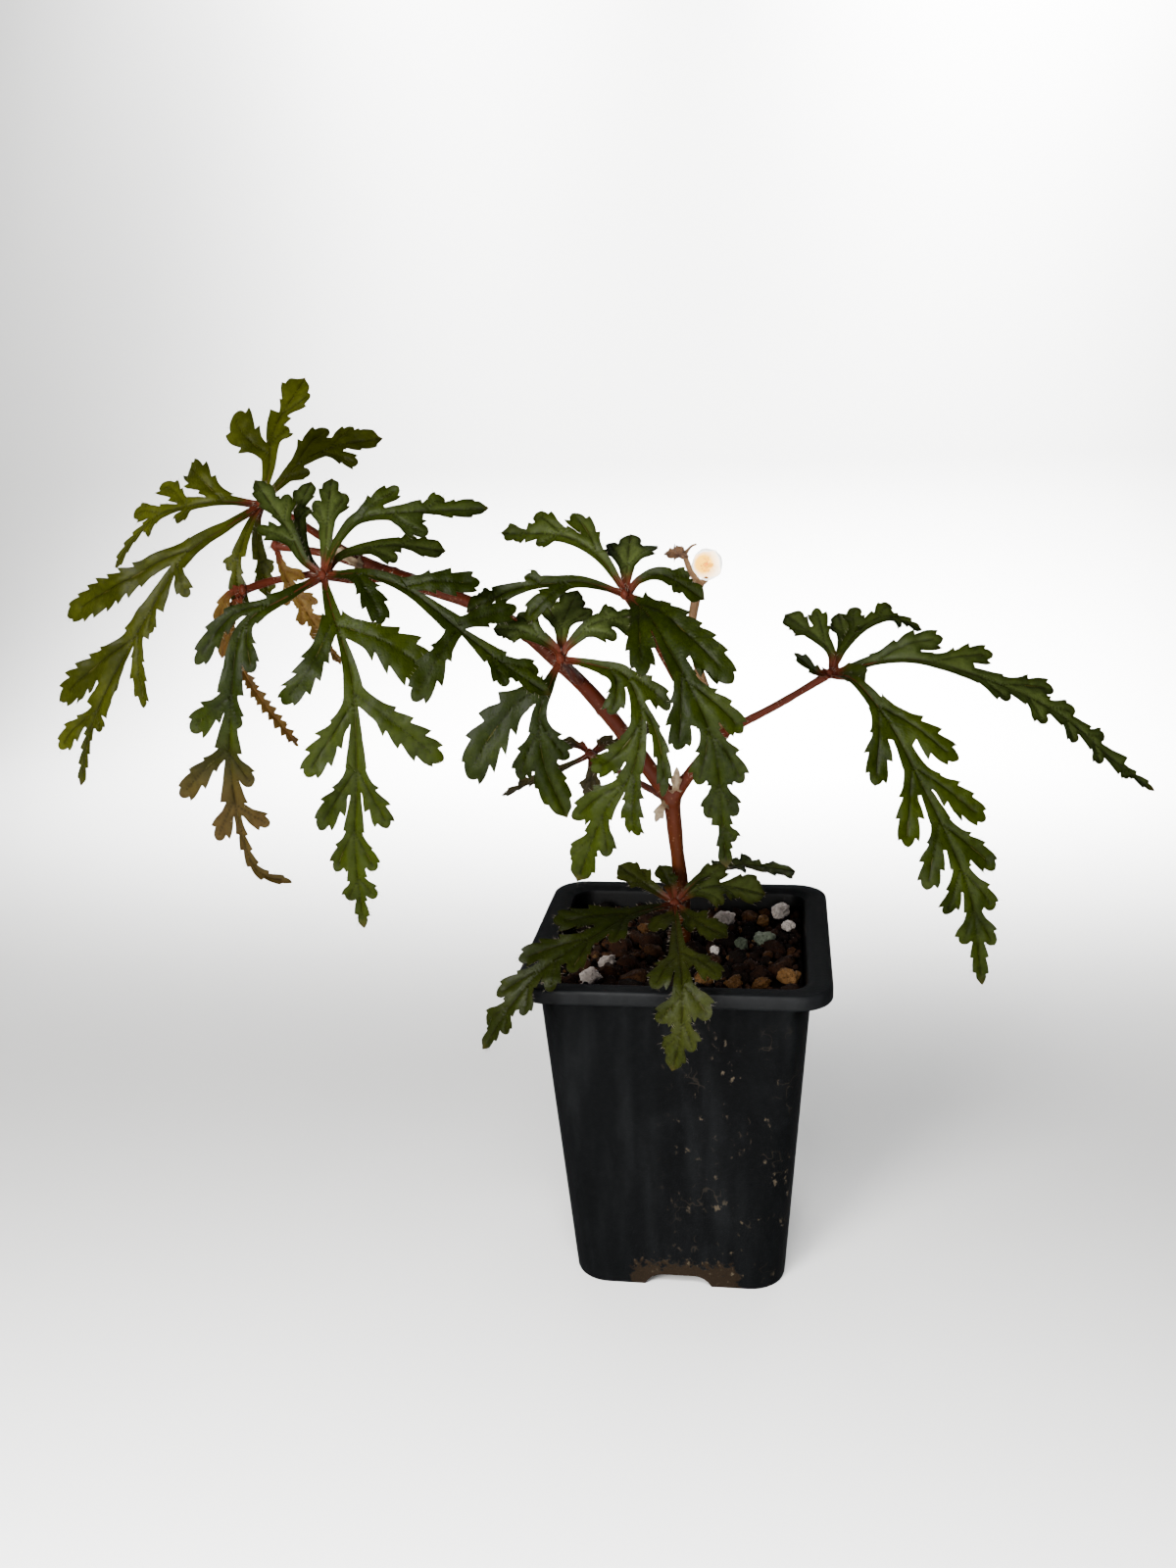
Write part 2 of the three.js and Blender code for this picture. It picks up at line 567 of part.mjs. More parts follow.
    leaflets: [
      { along: [[-3, 1, 2], [-8, 3, 3]], left: [[0.4, 4]] },
      { along: [[3, 2, 1], [6, 5, 4]], left: [[0.4, 4]] },
      { along: [[-6, 2, -4], [-16, 5, -9], [-26, 6, -14]], left: [[0.3, 8]], right: [[0.42, 6], [0.7, 4]],
        tip: 1.2 },
      { along: [[1, -3, -4], [0, -4, -12]], left: [[0.48, 4]], right: [[0.55, 4]] },
      { along: [[8, 0, 3], [19, -2, 8]], left: [[0.45, 5]], right: [[0.5, 6]] },
    ],
  },
  {
    name: "young_leaf_bronze",
    hub: [-89, -8, 174],
    petiole: [[-65, -16, 170], [-70, -12, 170.5], [-78, -10, 172.5]],
    facing: [0.1, -0.9, 0.4],
    leaflets: [
      { along: [[2, -2, -5], [6, -5, -11], [15, -6, -26]],
        left: [[0.18, 6], [0.4, 5], [0.58, 4], [0.74, 3]],
        right: [[0.3, 4], [0.5, 4], [0.66, 3], [0.82, 2]], tip: 1, slim: 0.6 },
    ],
  },
  {
    name: "young_leaf_folded",
    hub: [-95, -14, 165],
    petiole: [[-62, -16, 168.5], [-68, -9, 167], [-79, -7, 167.5], [-89, -9, 166.5]],
    facing: [0.1, -0.9, 0.4],
    leaflets: [
      { along: [[-2, -3, -5], [-2, -4, -12], [3, -6, -22], [12, -7, -34]],
        left: [[0.42, 5], [0.58, 4], [0.74, 3]], right: [[0.5, 4], [0.66, 4], [0.82, 3]], tip: 1,
        slim: 0.6 },
      { along: [[-3, -2, -1], [-5, -5, -7]], tip: 1.4 },
      { along: [[-3, -1, -5], [-6, -2, -15]], left: [[0.5, 3]], tip: 1.2 },
    ],
  },
];

function leaf({ hub, petiole, facing, leaflets }) {
  const radii = [1.25, 1, 1, 1].map((share) => share * petioleRadius);
  return joined([
    stalk([...petiole, hub], radii, 6, 2 + petiole.length * 2),
    lump(hub, [1.4, 1.4, 1.4], 0, 0),
    ...leaflets.map((one) => leaflet(hub, facing, one)),
  ]);
}

// Bloom: a bare tan stalk, rounded white tepals cupped round a yellow knot of stamens, and a dried bract
const bloomCentre = [7, -1, 167.5];
const bloomRadius = 3.5;

function peduncle(grow = 0) {
  return joined([
    stalk([rightNode, [7, -1, 137.5], [4.7, -1, 145], [3.5, -1, 154], peduncleTip],
      [1.3, 1.2, 1.1, 1, 1.1].map((r) => r + grow), 6, 8),
    stalk([peduncleTip, [3, 0, 166.5], [2, -1, 169.5]], [1 + grow, 0.6 + grow], 6, 3),
    stalk([peduncleTip, [6.5, 0.2, 163.8]], [0.8 + grow, 0.7 + grow], 6, 1),
    lump(peduncleTip, [1.3 + grow, 1.2 + grow, 1.2 + grow], 0, 0),
  ]);
}

// Four rounded tepals in one cup that opens towards the viewer, joined at its back
function tepals() {
  const [x, y, z] = bloomCentre;
  const inner = bloomRadius - 0.75;
  let cup = lump(bloomCentre, [bloomRadius, bloomRadius * 0.9, bloomRadius], 0)
    .subtract(lump(bloomCentre, [inner, inner * 0.9, inner], 0))
    .subtract(lump([x - 0.3, y - bloomRadius, z], [2.3, 2.3, 2.2], 0));
  for (const turn of [40, 140, 220, 320].map(THREE.MathUtils.degToRad)) {
    const notchAt = [x + bloomRadius * Math.cos(turn), y - 2, z + bloomRadius * Math.sin(turn)];
    cup = cup.subtract(lump(notchAt, [0.8, 2, 0.8], 0, 0));
  }
  return mainBody(cup);
}

function stamens() {
  const [x, y, z] = bloomCentre;
  const knots = [0, 1, 2, 3, 4].map((k) => lump(
    [x + 0.8 * Math.cos(k * 1.26), y - 0.6, z + 0.8 * Math.sin(k * 1.26)], [0.7, 1, 0.7], k, 0));
  const foot = y + (bloomRadius - 0.75) * 0.9 - gap - 0.2;
  return joined([stalk([[x, foot, z], [x, y - 0.4, z]], [0.6, 1.1], 6, 2), ...knots]);
}

const bractFoot = [2, -1, 169.6];

function driedBract() {
  const blade = { along: [[-2, 0, 0.4], [-4.5, -0.5, 0.4]], left: [[0.5, 1.6]], right: [[0.4, 1.4]] };
  return joined([
    leaflet(bractFoot, [0.2, -0.9, 0.5], blade),
    leaflet(bractFoot, [0.2, -0.9, 0.5], { along: [[-1, 0, 1], [-1.6, -0.4, 2.2]] }),
    stalk([bractFoot, [3.4, -1, 171.4], [4.6, -1, 171.9]], [0.5, 0.4, 0.35], 5, 4),
    lump(bractFoot, [0.9, 0.8, 0.8], 0, 0),
  ]);
}

// Small scales that the branches and leaf stalks grew out of
const scales = [
  { name: "stipule_fork_upper", hub: [-1, 1.5, 114], along: [[0.3, -1.6, 3], [0.6, -2, 7]] },
  { name: "stipule_fork_lower", hub: [-3, 1.5, 112], along: [[-1.2, -1.4, -1], [-2.6, -2, -4.4]] },
  { name: "bract_branch_tip", hub: [-66, -18.5, 170.5], along: [[-2, -2, 1.6], [-6.4, -2, 4.6]] },
];

function scale({ hub, along }) {
  return leaflet(hub, [0.1, -0.9, 0.3], { along, tip: 1.1 });
}

// Assembly
const model = new THREE.Group();

function add(group, name, solid, colour, roughness = 0.6) {
  const material = new THREE.MeshStandardMaterial({ color: colour, roughness, metalness: 0 });
  const mesh = new THREE.Mesh(geometryOf(solid), material);
  mesh.name = name;
  group.add(mesh);
}

const stemRoom = stem(gap);
const holder = new THREE.Group();
add(holder, "pot", pot(), 0x23262b, 0.45);
add(holder, "soil", soil(stemRoom), 0x3a271f, 0.95);
for (const { name, place, seed, colour } of stones) {
  add(holder, name, pebble(place, seed), colour, 0.9);
}

const plant = new THREE.Group();
add(plant, "stem", stem(), 0x8a3a24, 0.45);
const leafColours = {
  young_leaf_bronze: 0x8a5a34,
  young_leaf_folded: 0x8a5236,
  leaf_back: 0x55603f,
  leaf_tip_upper: 0x55712c,
};
for (const one of leaves) {
  add(plant, one.name, mainBody(leaf(one).subtract(stemRoom)), leafColours[one.name] ?? 0x35561f, 0.4);
}
for (const one of scales) {
  add(plant, one.name, mainBody(scale(one).subtract(stemRoom)), 0xa8956a, 0.7);
}

const bloomRoom = lump(bloomCentre, [bloomRadius + gap, bloomRadius * 0.9 + gap, bloomRadius + gap], 0);
add(plant, "peduncle", mainBody(peduncle().subtract(stemRoom).subtract(bloomRoom)), 0xa87750, 0.5);
add(plant, "tepals", tepals(), 0xfbf6ea, 0.6);
add(plant, "stamens", stamens(), 0xf2bf3a, 0.6);
const bractBody = driedBract().subtract(peduncle(gap)).subtract(bloomRoom);
add(plant, "dried_bract", mainBody(bractBody), 0x8a5238, 0.8);

model.add(holder, plant);

export default model;
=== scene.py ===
"""A cut-leaved begonia in a square nursery pot of grit.

Shapes are worked out in millimetres in the row's frame: the origin is the middle of the
pot's base, +X is the viewer's right and -Y faces the viewer. They become metres when a mesh is made.
"""

import json
import logging
import math
import random
from dataclasses import dataclass
from enum import Enum
from typing import Iterable, Protocol, Sequence

import bmesh
import bpy
import numpy as np
from mathutils import Matrix, Vector, noise
from mathutils.geometry import delaunay_2d_cdt
from mathutils.kdtree import KDTree

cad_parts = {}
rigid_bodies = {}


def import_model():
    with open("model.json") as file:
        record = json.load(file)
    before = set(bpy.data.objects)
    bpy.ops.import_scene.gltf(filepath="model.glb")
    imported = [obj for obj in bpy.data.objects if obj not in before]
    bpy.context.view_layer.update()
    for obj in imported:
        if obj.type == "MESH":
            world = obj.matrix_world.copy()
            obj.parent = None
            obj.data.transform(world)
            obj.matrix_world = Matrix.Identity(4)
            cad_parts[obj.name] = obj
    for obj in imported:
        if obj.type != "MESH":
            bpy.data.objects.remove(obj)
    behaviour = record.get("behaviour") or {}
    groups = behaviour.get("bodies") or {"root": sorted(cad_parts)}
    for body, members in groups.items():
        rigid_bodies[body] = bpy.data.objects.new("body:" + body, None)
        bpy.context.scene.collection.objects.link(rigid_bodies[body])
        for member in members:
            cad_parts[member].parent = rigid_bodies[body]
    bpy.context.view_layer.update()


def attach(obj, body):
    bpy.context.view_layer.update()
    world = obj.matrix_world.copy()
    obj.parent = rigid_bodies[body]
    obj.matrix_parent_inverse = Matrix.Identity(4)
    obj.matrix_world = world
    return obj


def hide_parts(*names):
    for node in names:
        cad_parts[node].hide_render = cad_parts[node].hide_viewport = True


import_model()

MM = 0.001
ROOT = "root"
log = logging.getLogger("begonia")
Point = Sequence[float]
Colour = tuple[float, float, float]
Stop = tuple[float, Colour]
Face = tuple[int, ...]


# Shader building

class Field:
    """A shader value that can be used in Python expressions."""

    def __init__(self, shader: "Shader", socket: bpy.types.NodeSocket) -> None:
        """Wraps one output socket.

        Args:
            shader: the shader that new nodes are added to.
            socket: the output socket that gives the value.
        """
        self.shader = shader
        self.socket = socket

    def _math(self, operation: str, *values: "Field | float") -> "Field":
        """Returns: what a Math node makes of these values."""
        made = self.shader.node("ShaderNodeMath", {"operation": operation}, dict(enumerate(values)))
        return Field(self.shader, made.outputs[0])

    def __add__(self, other: "Field | float") -> "Field":
        """Sum."""
        return self._math("ADD", self, other)

    __radd__ = __add__

    def __sub__(self, other: "Field | float") -> "Field":
        """Difference."""
        return self._math("SUBTRACT", self, other)

    def __rsub__(self, other: float) -> "Field":
        """Difference from a number."""
        return self._math("SUBTRACT", other, self)

    def __mul__(self, other: "Field | float") -> "Field":
        """Product."""
        return self._math("MULTIPLY", self, other)

    __rmul__ = __mul__

    def ease(self, low: float, high: float) -> "Field":
        """Eases the value from 0 to 1.

        Args:
            low: the value that gives 0.
            high: the value that gives 1.

        Returns:
            A smooth step between the two.
        """
        made = self.shader.node(
            "ShaderNodeMapRange", {"interpolation_type": "SMOOTHSTEP"},
            {"Value": self, "From Min": low, "From Max": high})
        return Field(self.shader, made.outputs[0])


class Shader:
    """A material's node tree with one Principled shader."""

    def __init__(self, name: str) -> None:
        """Makes an empty material.

        Args:
            name: the material's name.
        """
        self.material = bpy.data.materials.new(name)
        self.material.use_nodes = True
        self.tree = self.material.node_tree
        self.surface = self.tree.nodes["Principled BSDF"]
        self.place = self.node("ShaderNodeTexCoord").outputs["Object"]

    def node(self, kind: str, settings: dict | None = None, inputs: dict | None = None) -> bpy.types.Node:
        """Adds one node.

        Args:
            kind: the node's type.
            settings: its properties, set first; "stops" holds a ramp's (position, colour) pairs.
            inputs: values, fields or sockets, by input name or number.

        Returns:
            The node.
        """
        made = self.tree.nodes.new(kind)
        for name, value in (settings or {}).items():
            if name == "stops":
                ramp = made.color_ramp.elements
                while len(ramp) < len(value):
                    ramp.new(1.0)
                for element, (position, colour) in zip(ramp, value):
                    element.position = position
                    element.color = (*colour, 1.0)
            else:
                setattr(made, name, value)
        for name, value in (inputs or {}).items():
            self.feed(made.inputs[name], value)
        return made

    def feed(self, target: bpy.types.NodeSocket, value: object) -> None:
        """Links or sets one input socket.

        Args:
            target: the input socket.
            value: a field, a socket, a number or a colour.
        """
        if isinstance(value, Field):
            value = value.socket
        if isinstance(value, bpy.types.NodeSocket):
            self.tree.links.new(value, target)
        elif target.type == "RGBA" and len(value) == 3:
            target.default_value = (*value, 1.0)
        else:
            target.default_value = value

    def set(self, **inputs: object) -> None:
        """Sets the Principled shader's inputs, named with underscores for spaces."""
        for name, value in inputs.items():
            self.feed(self.surface.inputs[name.replace("_", " ")], value)

    def noise(self, size: float, detail: float = 4.0, stretch: Point = (1, 1, 1)) -> Field:
        """Adds soft noise that stays with the piece.

        Args:
            size: how large the blotches are, in millimetres.
            detail: how many finer layers are added.
            stretch: scale of the pattern along each axis.

        Returns:
            Soft noise from 0 to 1.
        """
        where = self.node("ShaderNodeMapping", None, {"Vector": self.place, "Scale": stretch}).outputs[0]
        made = self.node("ShaderNodeTexNoise", None, {
            "Vector": where, "Scale": 1 / (size * MM), "Detail": detail, "Roughness": 0.6})
        return Field(self, made.outputs[0])

    def cells(self, size: float) -> Field:
        """Adds a pattern of small cells.

        Args:
            size: width of a cell in millimetres.

        Returns:
            The distance to the nearest cell's centre.
        """
        made = self.node("ShaderNodeTexVoronoi", None, {"Vector": self.place, "Scale": 1 / (size * MM)})
        return Field(self, made.outputs["Distance"])

    def painted(self, name: str) -> Field:
        """Reads a value that is painted on the mesh.

        Args:
            name: the mesh attribute.

        Returns:
            The value painted on the mesh under that name.
        """
        return Field(self, self.node("ShaderNodeAttribute", {"attribute_name": name}).outputs["Fac"])

    def axis(self, letter: str) -> Field:
        """Reads the place on the piece.

        Args:
            letter: X, Y or Z.

        Returns:
            The place along that axis in millimetres.
        """
        split = self.node("ShaderNodeSeparateXYZ", None, {0: self.place})
        return Field(self, split.outputs[letter]) * (1 / MM)

    def mix(self, factor: Field | float, start: object, end: object) -> bpy.types.NodeSocket:
        """Mixes two colours.

        Args:
            factor: 0 for the first colour, 1 for the second.
            start: a colour or its socket.
            end: a colour or its socket.

        Returns:
            The mixed colour.
        """
        made = self.node("ShaderNodeMix", {"data_type": "RGBA"}, {0: factor, 6: start, 7: end})
        return made.outputs[2]

    def ramp(self, factor: Field, stops: Sequence[Stop]) -> bpy.types.NodeSocket:
        """Picks a colour by a value.

        Args:
            factor: the value that picks the colour.
            stops: (position, colour) pairs.

        Returns:
            The colour.
        """
        return self.node("ShaderNodeValToRGB", {"stops": stops}, {0: factor}).outputs[0]

    def relief(self, height: Field, depth: float, strength: float = 1.0) -> None:
        """Gives the surface a bump.

        Args:
            height: the relief from 0 to 1.
            depth: what 1 stands for, in millimetres.
            strength: how much of it shows.
        """
        made = self.node("ShaderNodeBump", None,
                         {"Height": height, "Distance": depth * MM, "Strength": strength})
        self.set(Normal=made.outputs[0])


# Finishes

class Finish(Protocol):
    """What every finish offers."""

    name: str

    def material(self) -> bpy.types.Material:
        """Returns: the finish as a material."""


@dataclass(frozen=True)
class LeafFinish:
    """Satin leaf skin with sunken veins, pink stalks, withering tips and a painted sheen on chosen leaflets.
    """

    name: str
    dark: Colour
    light: Colour
    under: Colour
    stalk: Colour = (0.040, 0.0085, 0.0040)
    vein: Colour = (0.0022, 0.0016, 0.0003)
    edge: Colour = (0.0030, 0.0022, 0.0004)
    dry: Colour = (0.034, 0.019, 0.0045)
    # colour of the painted sheen
    sheen: Colour = (0.047, 0.062, 0.016)
    gloss: float = 0.34
    specular: float = 0.045
    blotch_size: float = 9.0
    grain_size: float = 1.1
    cell_size: float = 0.55
    relief_depth: float = 0.12

    def material(self) -> bpy.types.Material:
        """Returns: the leaf material, which reads the values painted on each leaf."""
        shader = Shader(self.name)
        blotch = shader.noise(self.blotch_size)
        fine = shader.noise(self.grain_size, 2.0)
        tone = (blotch * 0.75 + fine * 0.25 + shader.painted("tone") * 0.3).ease(0.3, 0.75)
        skin = shader.mix(tone, self.dark, self.light)
        # painted sheen: marked leaflets are mixed toward a pale grey-green that stands in for light reflected
        # from above
        skin = shader.mix(shader.painted("pale") * (0.45 + blotch * 0.6), skin, self.sheen)
        skin = shader.mix(shader.painted("under") * 0.85, skin, self.under)
        skin = shader.mix(shader.painted("wither") * (0.3 + blotch * 0.8), skin, self.dry)
        skin = shader.mix(shader.painted("vein") * 0.6, skin, self.vein)
        skin = shader.mix(shader.painted("rim") * 0.3, skin, self.edge)
        skin = shader.mix(shader.painted("stalk"), skin, self.stalk)
        cells = shader.cells(self.cell_size)
        rough = self.gloss + fine * 0.16 + shader.painted("wither") * 0.2
        shader.set(Base_Color=skin, Roughness=rough, Specular_IOR_Level=self.specular)
        shader.relief(cells.ease(0.0, 0.6) * 0.5 + fine * 0.5, self.relief_depth, 0.6)
        return shader.material


@dataclass(frozen=True)
class StemFinish:
    """Smooth young bark, streaked along its length."""

    name: str
    low: Colour
    high: Colour
    turn: float
    blend: float = 22.0
    speck: Colour = (0.13, 0.06, 0.03)
    gloss: float = 0.42
    specular: float = 0.09
    streak_size: float = 2.2
    speck_size: float = 1.3
    relief_depth: float = 0.16

    def material(self) -> bpy.types.Material:
        """Returns: the bark material, whose colour turns from low to high at a height in millimetres."""
        shader = Shader(self.name)
        streak = shader.noise(self.streak_size, 5.0, (1, 1, 0.35))
        speck = shader.cells(self.speck_size).ease(0.3, 0.05)
        start = self.turn / self.blend
        rise = (shader.axis("Z") * (1 / self.blend) + streak * 0.8).ease(start - 0.4, start + 1.2)
        bark = shader.mix(rise, self.low, self.high)
        bark = shader.mix((streak * 0.6).ease(0.2, 0.5) * 0.5, bark, tuple(0.45 * c for c in self.low))
        bark = shader.mix(speck * 0.35, bark, self.speck)
        shader.set(Base_Color=bark, Roughness=self.gloss + streak * 0.2, Specular_IOR_Level=self.specular)
        shader.relief(streak * 0.7 + speck * 0.3, self.relief_depth, 0.7)
        return shader.material


@dataclass(frozen=True)
class PlainFinish:
    """A matt skin with a soft change of tone, for hairs, petals, stamens and dry scales; petals and stamens
    also give off a painted glow.
    """

    name: str
    dark: Colour
    light: Colour
    # warm colour of the painted glow at the heart
    heart: Colour | None = None
    size: float = 1.5
    rough: float = 0.6
    glow: float = 0.0
    relief_depth: float = 0.12

    def material(self) -> bpy.types.Material:
        """Returns: the material; the warm heart painted on it is a painted glow, and with glow set the skin
        gives off light as a painted glow.
        """
        shader = Shader(self.name)
        tone = shader.noise(self.size, 3.0)
        skin = shader.mix(tone.ease(0.3, 0.7), self.dark, self.light)
        if self.heart:
            skin = shader.mix(shader.painted("heart"), skin, self.heart)
        shader.set(Base_Color=skin, Roughness=self.rough)
        # painted glow: the skin gives off light, though it is no lamp
        if self.glow:
            shader.set(Emission_Color=skin, Emission_Strength=self.glow)
        shader.relief(tone, self.relief_depth, 0.5)
        return shader.material


@dataclass(frozen=True)
class StoneFinish:
    """Grit of one kind: its colours, from which each stone's painted tone picks, and its pores, whose pits
    are darkened as painted shade.
    """

    name: str
    stops: tuple[Stop, ...]
    pore_size: float = 0.5
    rough: float = 0.85
    specular: float = 0.08
    blotch_size: float = 1.6
    relief_depth: float = 0.35

    def material(self) -> bpy.types.Material:
        """Returns: the stone material."""
        shader = Shader(self.name)
        blotch = shader.noise(self.blotch_size, 5.0)
        pores = shader.cells(self.pore_size).ease(0.0, 0.55)
        tone = (shader.painted("tone") + (blotch - 0.5) * 0.5).ease(0.0, 1.0)
        skin = shader.ramp(tone, self.stops)
        darkest = self.stops[0][1]
        # painted shade: the pits of the pores, which are only a bump, are darkened toward the darkest tone
        skin = shader.mix((1 - pores) * 0.55, skin, tuple(0.4 * c for c in darkest))
        shader.set(Base_Color=skin, Roughness=self.rough, Specular_IOR_Level=self.specular)
        shader.relief(pores * 0.5 + blotch * 0.5, self.relief_depth, 0.8)
        return shader.material


@dataclass(frozen=True)
class PlasticFinish:
    """Black moulded plastic with a satin skin, faint drag marks and splashes of dried soil, a painted sheen
    on the top of the rim and painted shade on the inner wall under it.
    """

    name: str = "nursery_plastic"
    black: Colour = (0.0017, 0.0019, 0.0021)
    # grey of the drag marks and of the painted sheen on the rim
    wear_and_sheen: Colour = (0.0052, 0.0057, 0.0062)
    mud: Colour = (0.0085, 0.0050, 0.0022)
    salt: Colour = (0.046, 0.036, 0.023)
    # colour of the painted shade on the inner wall
    shade: Colour = (0.0004, 0.0004, 0.0004)
    gloss: float = 0.36
    specular: float = 0.07
    relief_depth: float = 0.22
    drag_size: float = 5.0
    grain_size: float = 0.5
    film_size: float = 11.0
    crumb_size: float = 1.5
    clump_size: float = 7.0
    speck_size: float = 1.7
    trail_size: float = 3.4
    break_size: float = 8.0
    lip: tuple[float, float] = (76.2, 77.2)
    dirt_top: tuple[float, float] = (66.0, 72.0)
    dirt_side: tuple[float, float] = (-6.0, 6.0)

    def material(self) -> bpy.types.Material:
        """Returns: the plastic material."""
        shader = Shader(self.name)
        drag = shader.noise(self.drag_size, 4.0, (1, 1, 0.12))
        grain = shader.noise(self.grain_size, 2.0)
        film = shader.noise(self.film_size, 4.0)
        plastic = shader.mix(drag.ease(0.42, 0.8) * 0.6 + film.ease(0.5, 0.8) * 0.25, self.black, self.wear_and_sheen)
        # painted sheen: the top band of the rim is made lighter, streaked along the drag marks, for the light
        # its upper faces catch
        lip = shader.axis("Z").ease(*self.lip)
        plastic = shader.mix(lip * (0.2 + drag * 0.4), plastic, self.wear_and_sheen)
        # painted shade: the inner wall under the rim is darkened to near black
        plastic = shader.mix(self.inner_wall(shader), plastic, self.shade)
        splash = self.splashes(shader)
        crumbs = shader.noise(self.crumb_size, 4.0)
        stain = (self.foot(shader) * 0.72 + crumbs - 0.95).ease(0.0, 0.12)
        plastic = shader.mix(splash * 0.7, plastic, self.salt)
        plastic = shader.mix(stain * 0.9, plastic, shader.mix(crumbs.ease(0.6, 0.72), self.mud, self.salt))
        dirt = splash * 0.6 + stain
        rough = self.gloss + drag * 0.12 + grain * 0.08 + dirt * 0.35
        shader.set(Base_Color=plastic, Roughness=rough, Specular_IOR_Level=self.specular)
        shader.relief(grain * 0.25 + drag * 0.35 + dirt * 0.8, self.relief_depth, 0.6)
        return shader.material

    def inner_wall(self, shader: Shader) -> Field:
        """Marks where shade is painted: the wall that no light gets to.

        Args:
            shader: the shader that the mark is made in.

        Returns:
            1 on the inner wall under the rim.
        """
        x, y, z = (shader.axis(letter) for letter in "XYZ")
        within = (1 - (x * x).ease(850.0, 885.0)) * (1 - (y * y).ease(850.0, 885.0))
        return within * z.ease(70.0, 74.0) * (1 - z.ease(78.6, 79.4))

    def splashes(self, shader: Shader) -> Field:
        """Marks where watering left its traces.

        Args:
            shader: the shader that the marks are made in.

        Returns:
            1 on the specks and trails of dried soil, which lie on the right of the pot.
        """
        right = shader.axis("X").ease(*self.dirt_side) * (1 - shader.axis("Z").ease(*self.dirt_top))
        clump = shader.noise(self.clump_size, 3.0).ease(0.5, 0.62)
        specks = shader.noise(self.speck_size, 3.0, (1, 1, 0.7)).ease(0.60, 0.66) * clump
        swirl = shader.noise(self.trail_size, 1.0) - 0.5
        breaks = shader.noise(self.break_size, 2.0).ease(0.56, 0.6)
        trails = (swirl * swirl).ease(0.00035, 0.00008) * breaks
        return (specks + trails * 0.22) * right

    def foot(self, shader: Shader) -> Field:
        """Marks where soil sticks.

        Args:
            shader: the shader that the mark is made in.

        Returns:
            1 round the notch in the front.
        """
        x, y, z = (shader.axis(letter) for letter in "XYZ")
        front = 1 - y.ease(-24.0, -18.0)
        return (1 - z.ease(1.5, 15.0)) * x.ease(-15.0, -9.0) * (1 - x.ease(12.0, 19.0)) * front


GREEN = LeafFinish("leaf_green", (0.0048, 0.0080, 0.0002), (0.0135, 0.0195, 0.0007), (0.021, 0.019, 0.003))
DEEP = LeafFinish("leaf_deep", (0.0050, 0.0072, 0.0004), (0.0128, 0.0155, 0.0016), (0.020, 0.017, 0.005))
OLIVE = LeafFinish("leaf_olive", (0.0110, 0.0130, 0.0002), (0.0270, 0.0305, 0.0014), (0.028, 0.024, 0.004))
BRONZE = LeafFinish("leaf_bronze", (0.020, 0.0110, 0.0015), (0.062, 0.036, 0.007), (0.05, 0.028, 0.007),
                    vein=(0.034, 0.010, 0.003), edge=(0.040, 0.018, 0.004))
SHADED = LeafFinish("leaf_shaded", (0.012, 0.0095, 0.003), (0.026, 0.021, 0.008), (0.03, 0.021, 0.010))
BARK = StemFinish("stem_bark", (0.044, 0.0100, 0.0005), (0.042, 0.0068, 0.0020), 104.0)
TAN_STALK = StemFinish("flower_stalk", (0.075, 0.036, 0.014), (0.120, 0.068, 0.034), 140.0)
HAIR = PlainFinish("leaf_hair", (0.06, 0.05, 0.035), (0.14, 0.12, 0.09))
PAPERY = PlainFinish("dry_scale", (0.07, 0.038, 0.015), (0.15, 0.11, 0.06), rough=0.7)
CRUMPLED = PlainFinish("dried_bract", (0.042, 0.017, 0.005), (0.12, 0.056, 0.020), rough=0.75)
# Tepals and stamens give off a painted glow, warmest at the heart of the tepals.
TEPAL = PlainFinish("white_tepal", (0.86, 0.84, 0.78), (0.95, 0.94, 0.90), heart=(0.70, 0.42, 0.0),
                    size=3.0, rough=0.5, glow=2.6)
POLLEN = PlainFinish("yellow_stamen", (0.80, 0.36, 0.0), (0.90, 0.50, 0.02), size=0.6, glow=1.0)
LAVA = StoneFinish("lava_grit", (
    (0.0, (0.0010, 0.0005, 0.0002)), (0.4, (0.0056, 0.0018, 0.0005)), (0.65, (0.0140, 0.0046, 0.0013)),
    (0.85, (0.030, 0.0125, 0.0035)), (1.0, (0.050, 0.026, 0.009))))
PLASTIC = PlasticFinish()
PUMICE = StoneFinish("pumice", (
    (0.0, (0.08, 0.065, 0.055)), (0.5, (0.24, 0.21, 0.19)), (1.0, (0.42, 0.38, 0.35))),
    pore_size=0.6, rough=0.9)
ZEOLITE = StoneFinish("zeolite", (
    (0.0, (0.018, 0.021, 0.012)), (0.5, (0.044, 0.054, 0.036)), (1.0, (0.085, 0.100, 0.072))),
    pore_size=0.9, rough=0.7)
CLAY = StoneFinish("fired_clay", (
    (0.0, (0.012, 0.0045, 0.0012)), (0.5, (0.046, 0.0200, 0.0045)), (1.0, (0.095, 0.050, 0.017))), rough=0.7)


class Palette:
    """Makes each finish's material once and hands it out."""

    made: dict[str, bpy.types.Material] = {}

    @classmethod
    def of(cls, finish: Finish) -> bpy.types.Material:
        """Finds or makes a material.

        Args:
            finish: the finish that it is for.

        Returns:
            The material.
        """
        if finish.name not in cls.made:
            cls.made[finish.name] = finish.material()
        return cls.made[finish.name]


# Shapes

def unit(vectors: np.ndarray) -> np.ndarray:
    """Returns: the vectors at length one."""
    return vectors / np.maximum(np.linalg.norm(vectors, axis=-1, keepdims=True), 1e-9)


def smooth(value: np.ndarray | float, low: float, high: float) -> np.ndarray:
    """Returns: a smooth step from 0 at low to 1 at high."""
    share = np.clip((np.asarray(value, float) - low) / (high - low), 0, 1)
    return share * share * (3 - 2 * share)


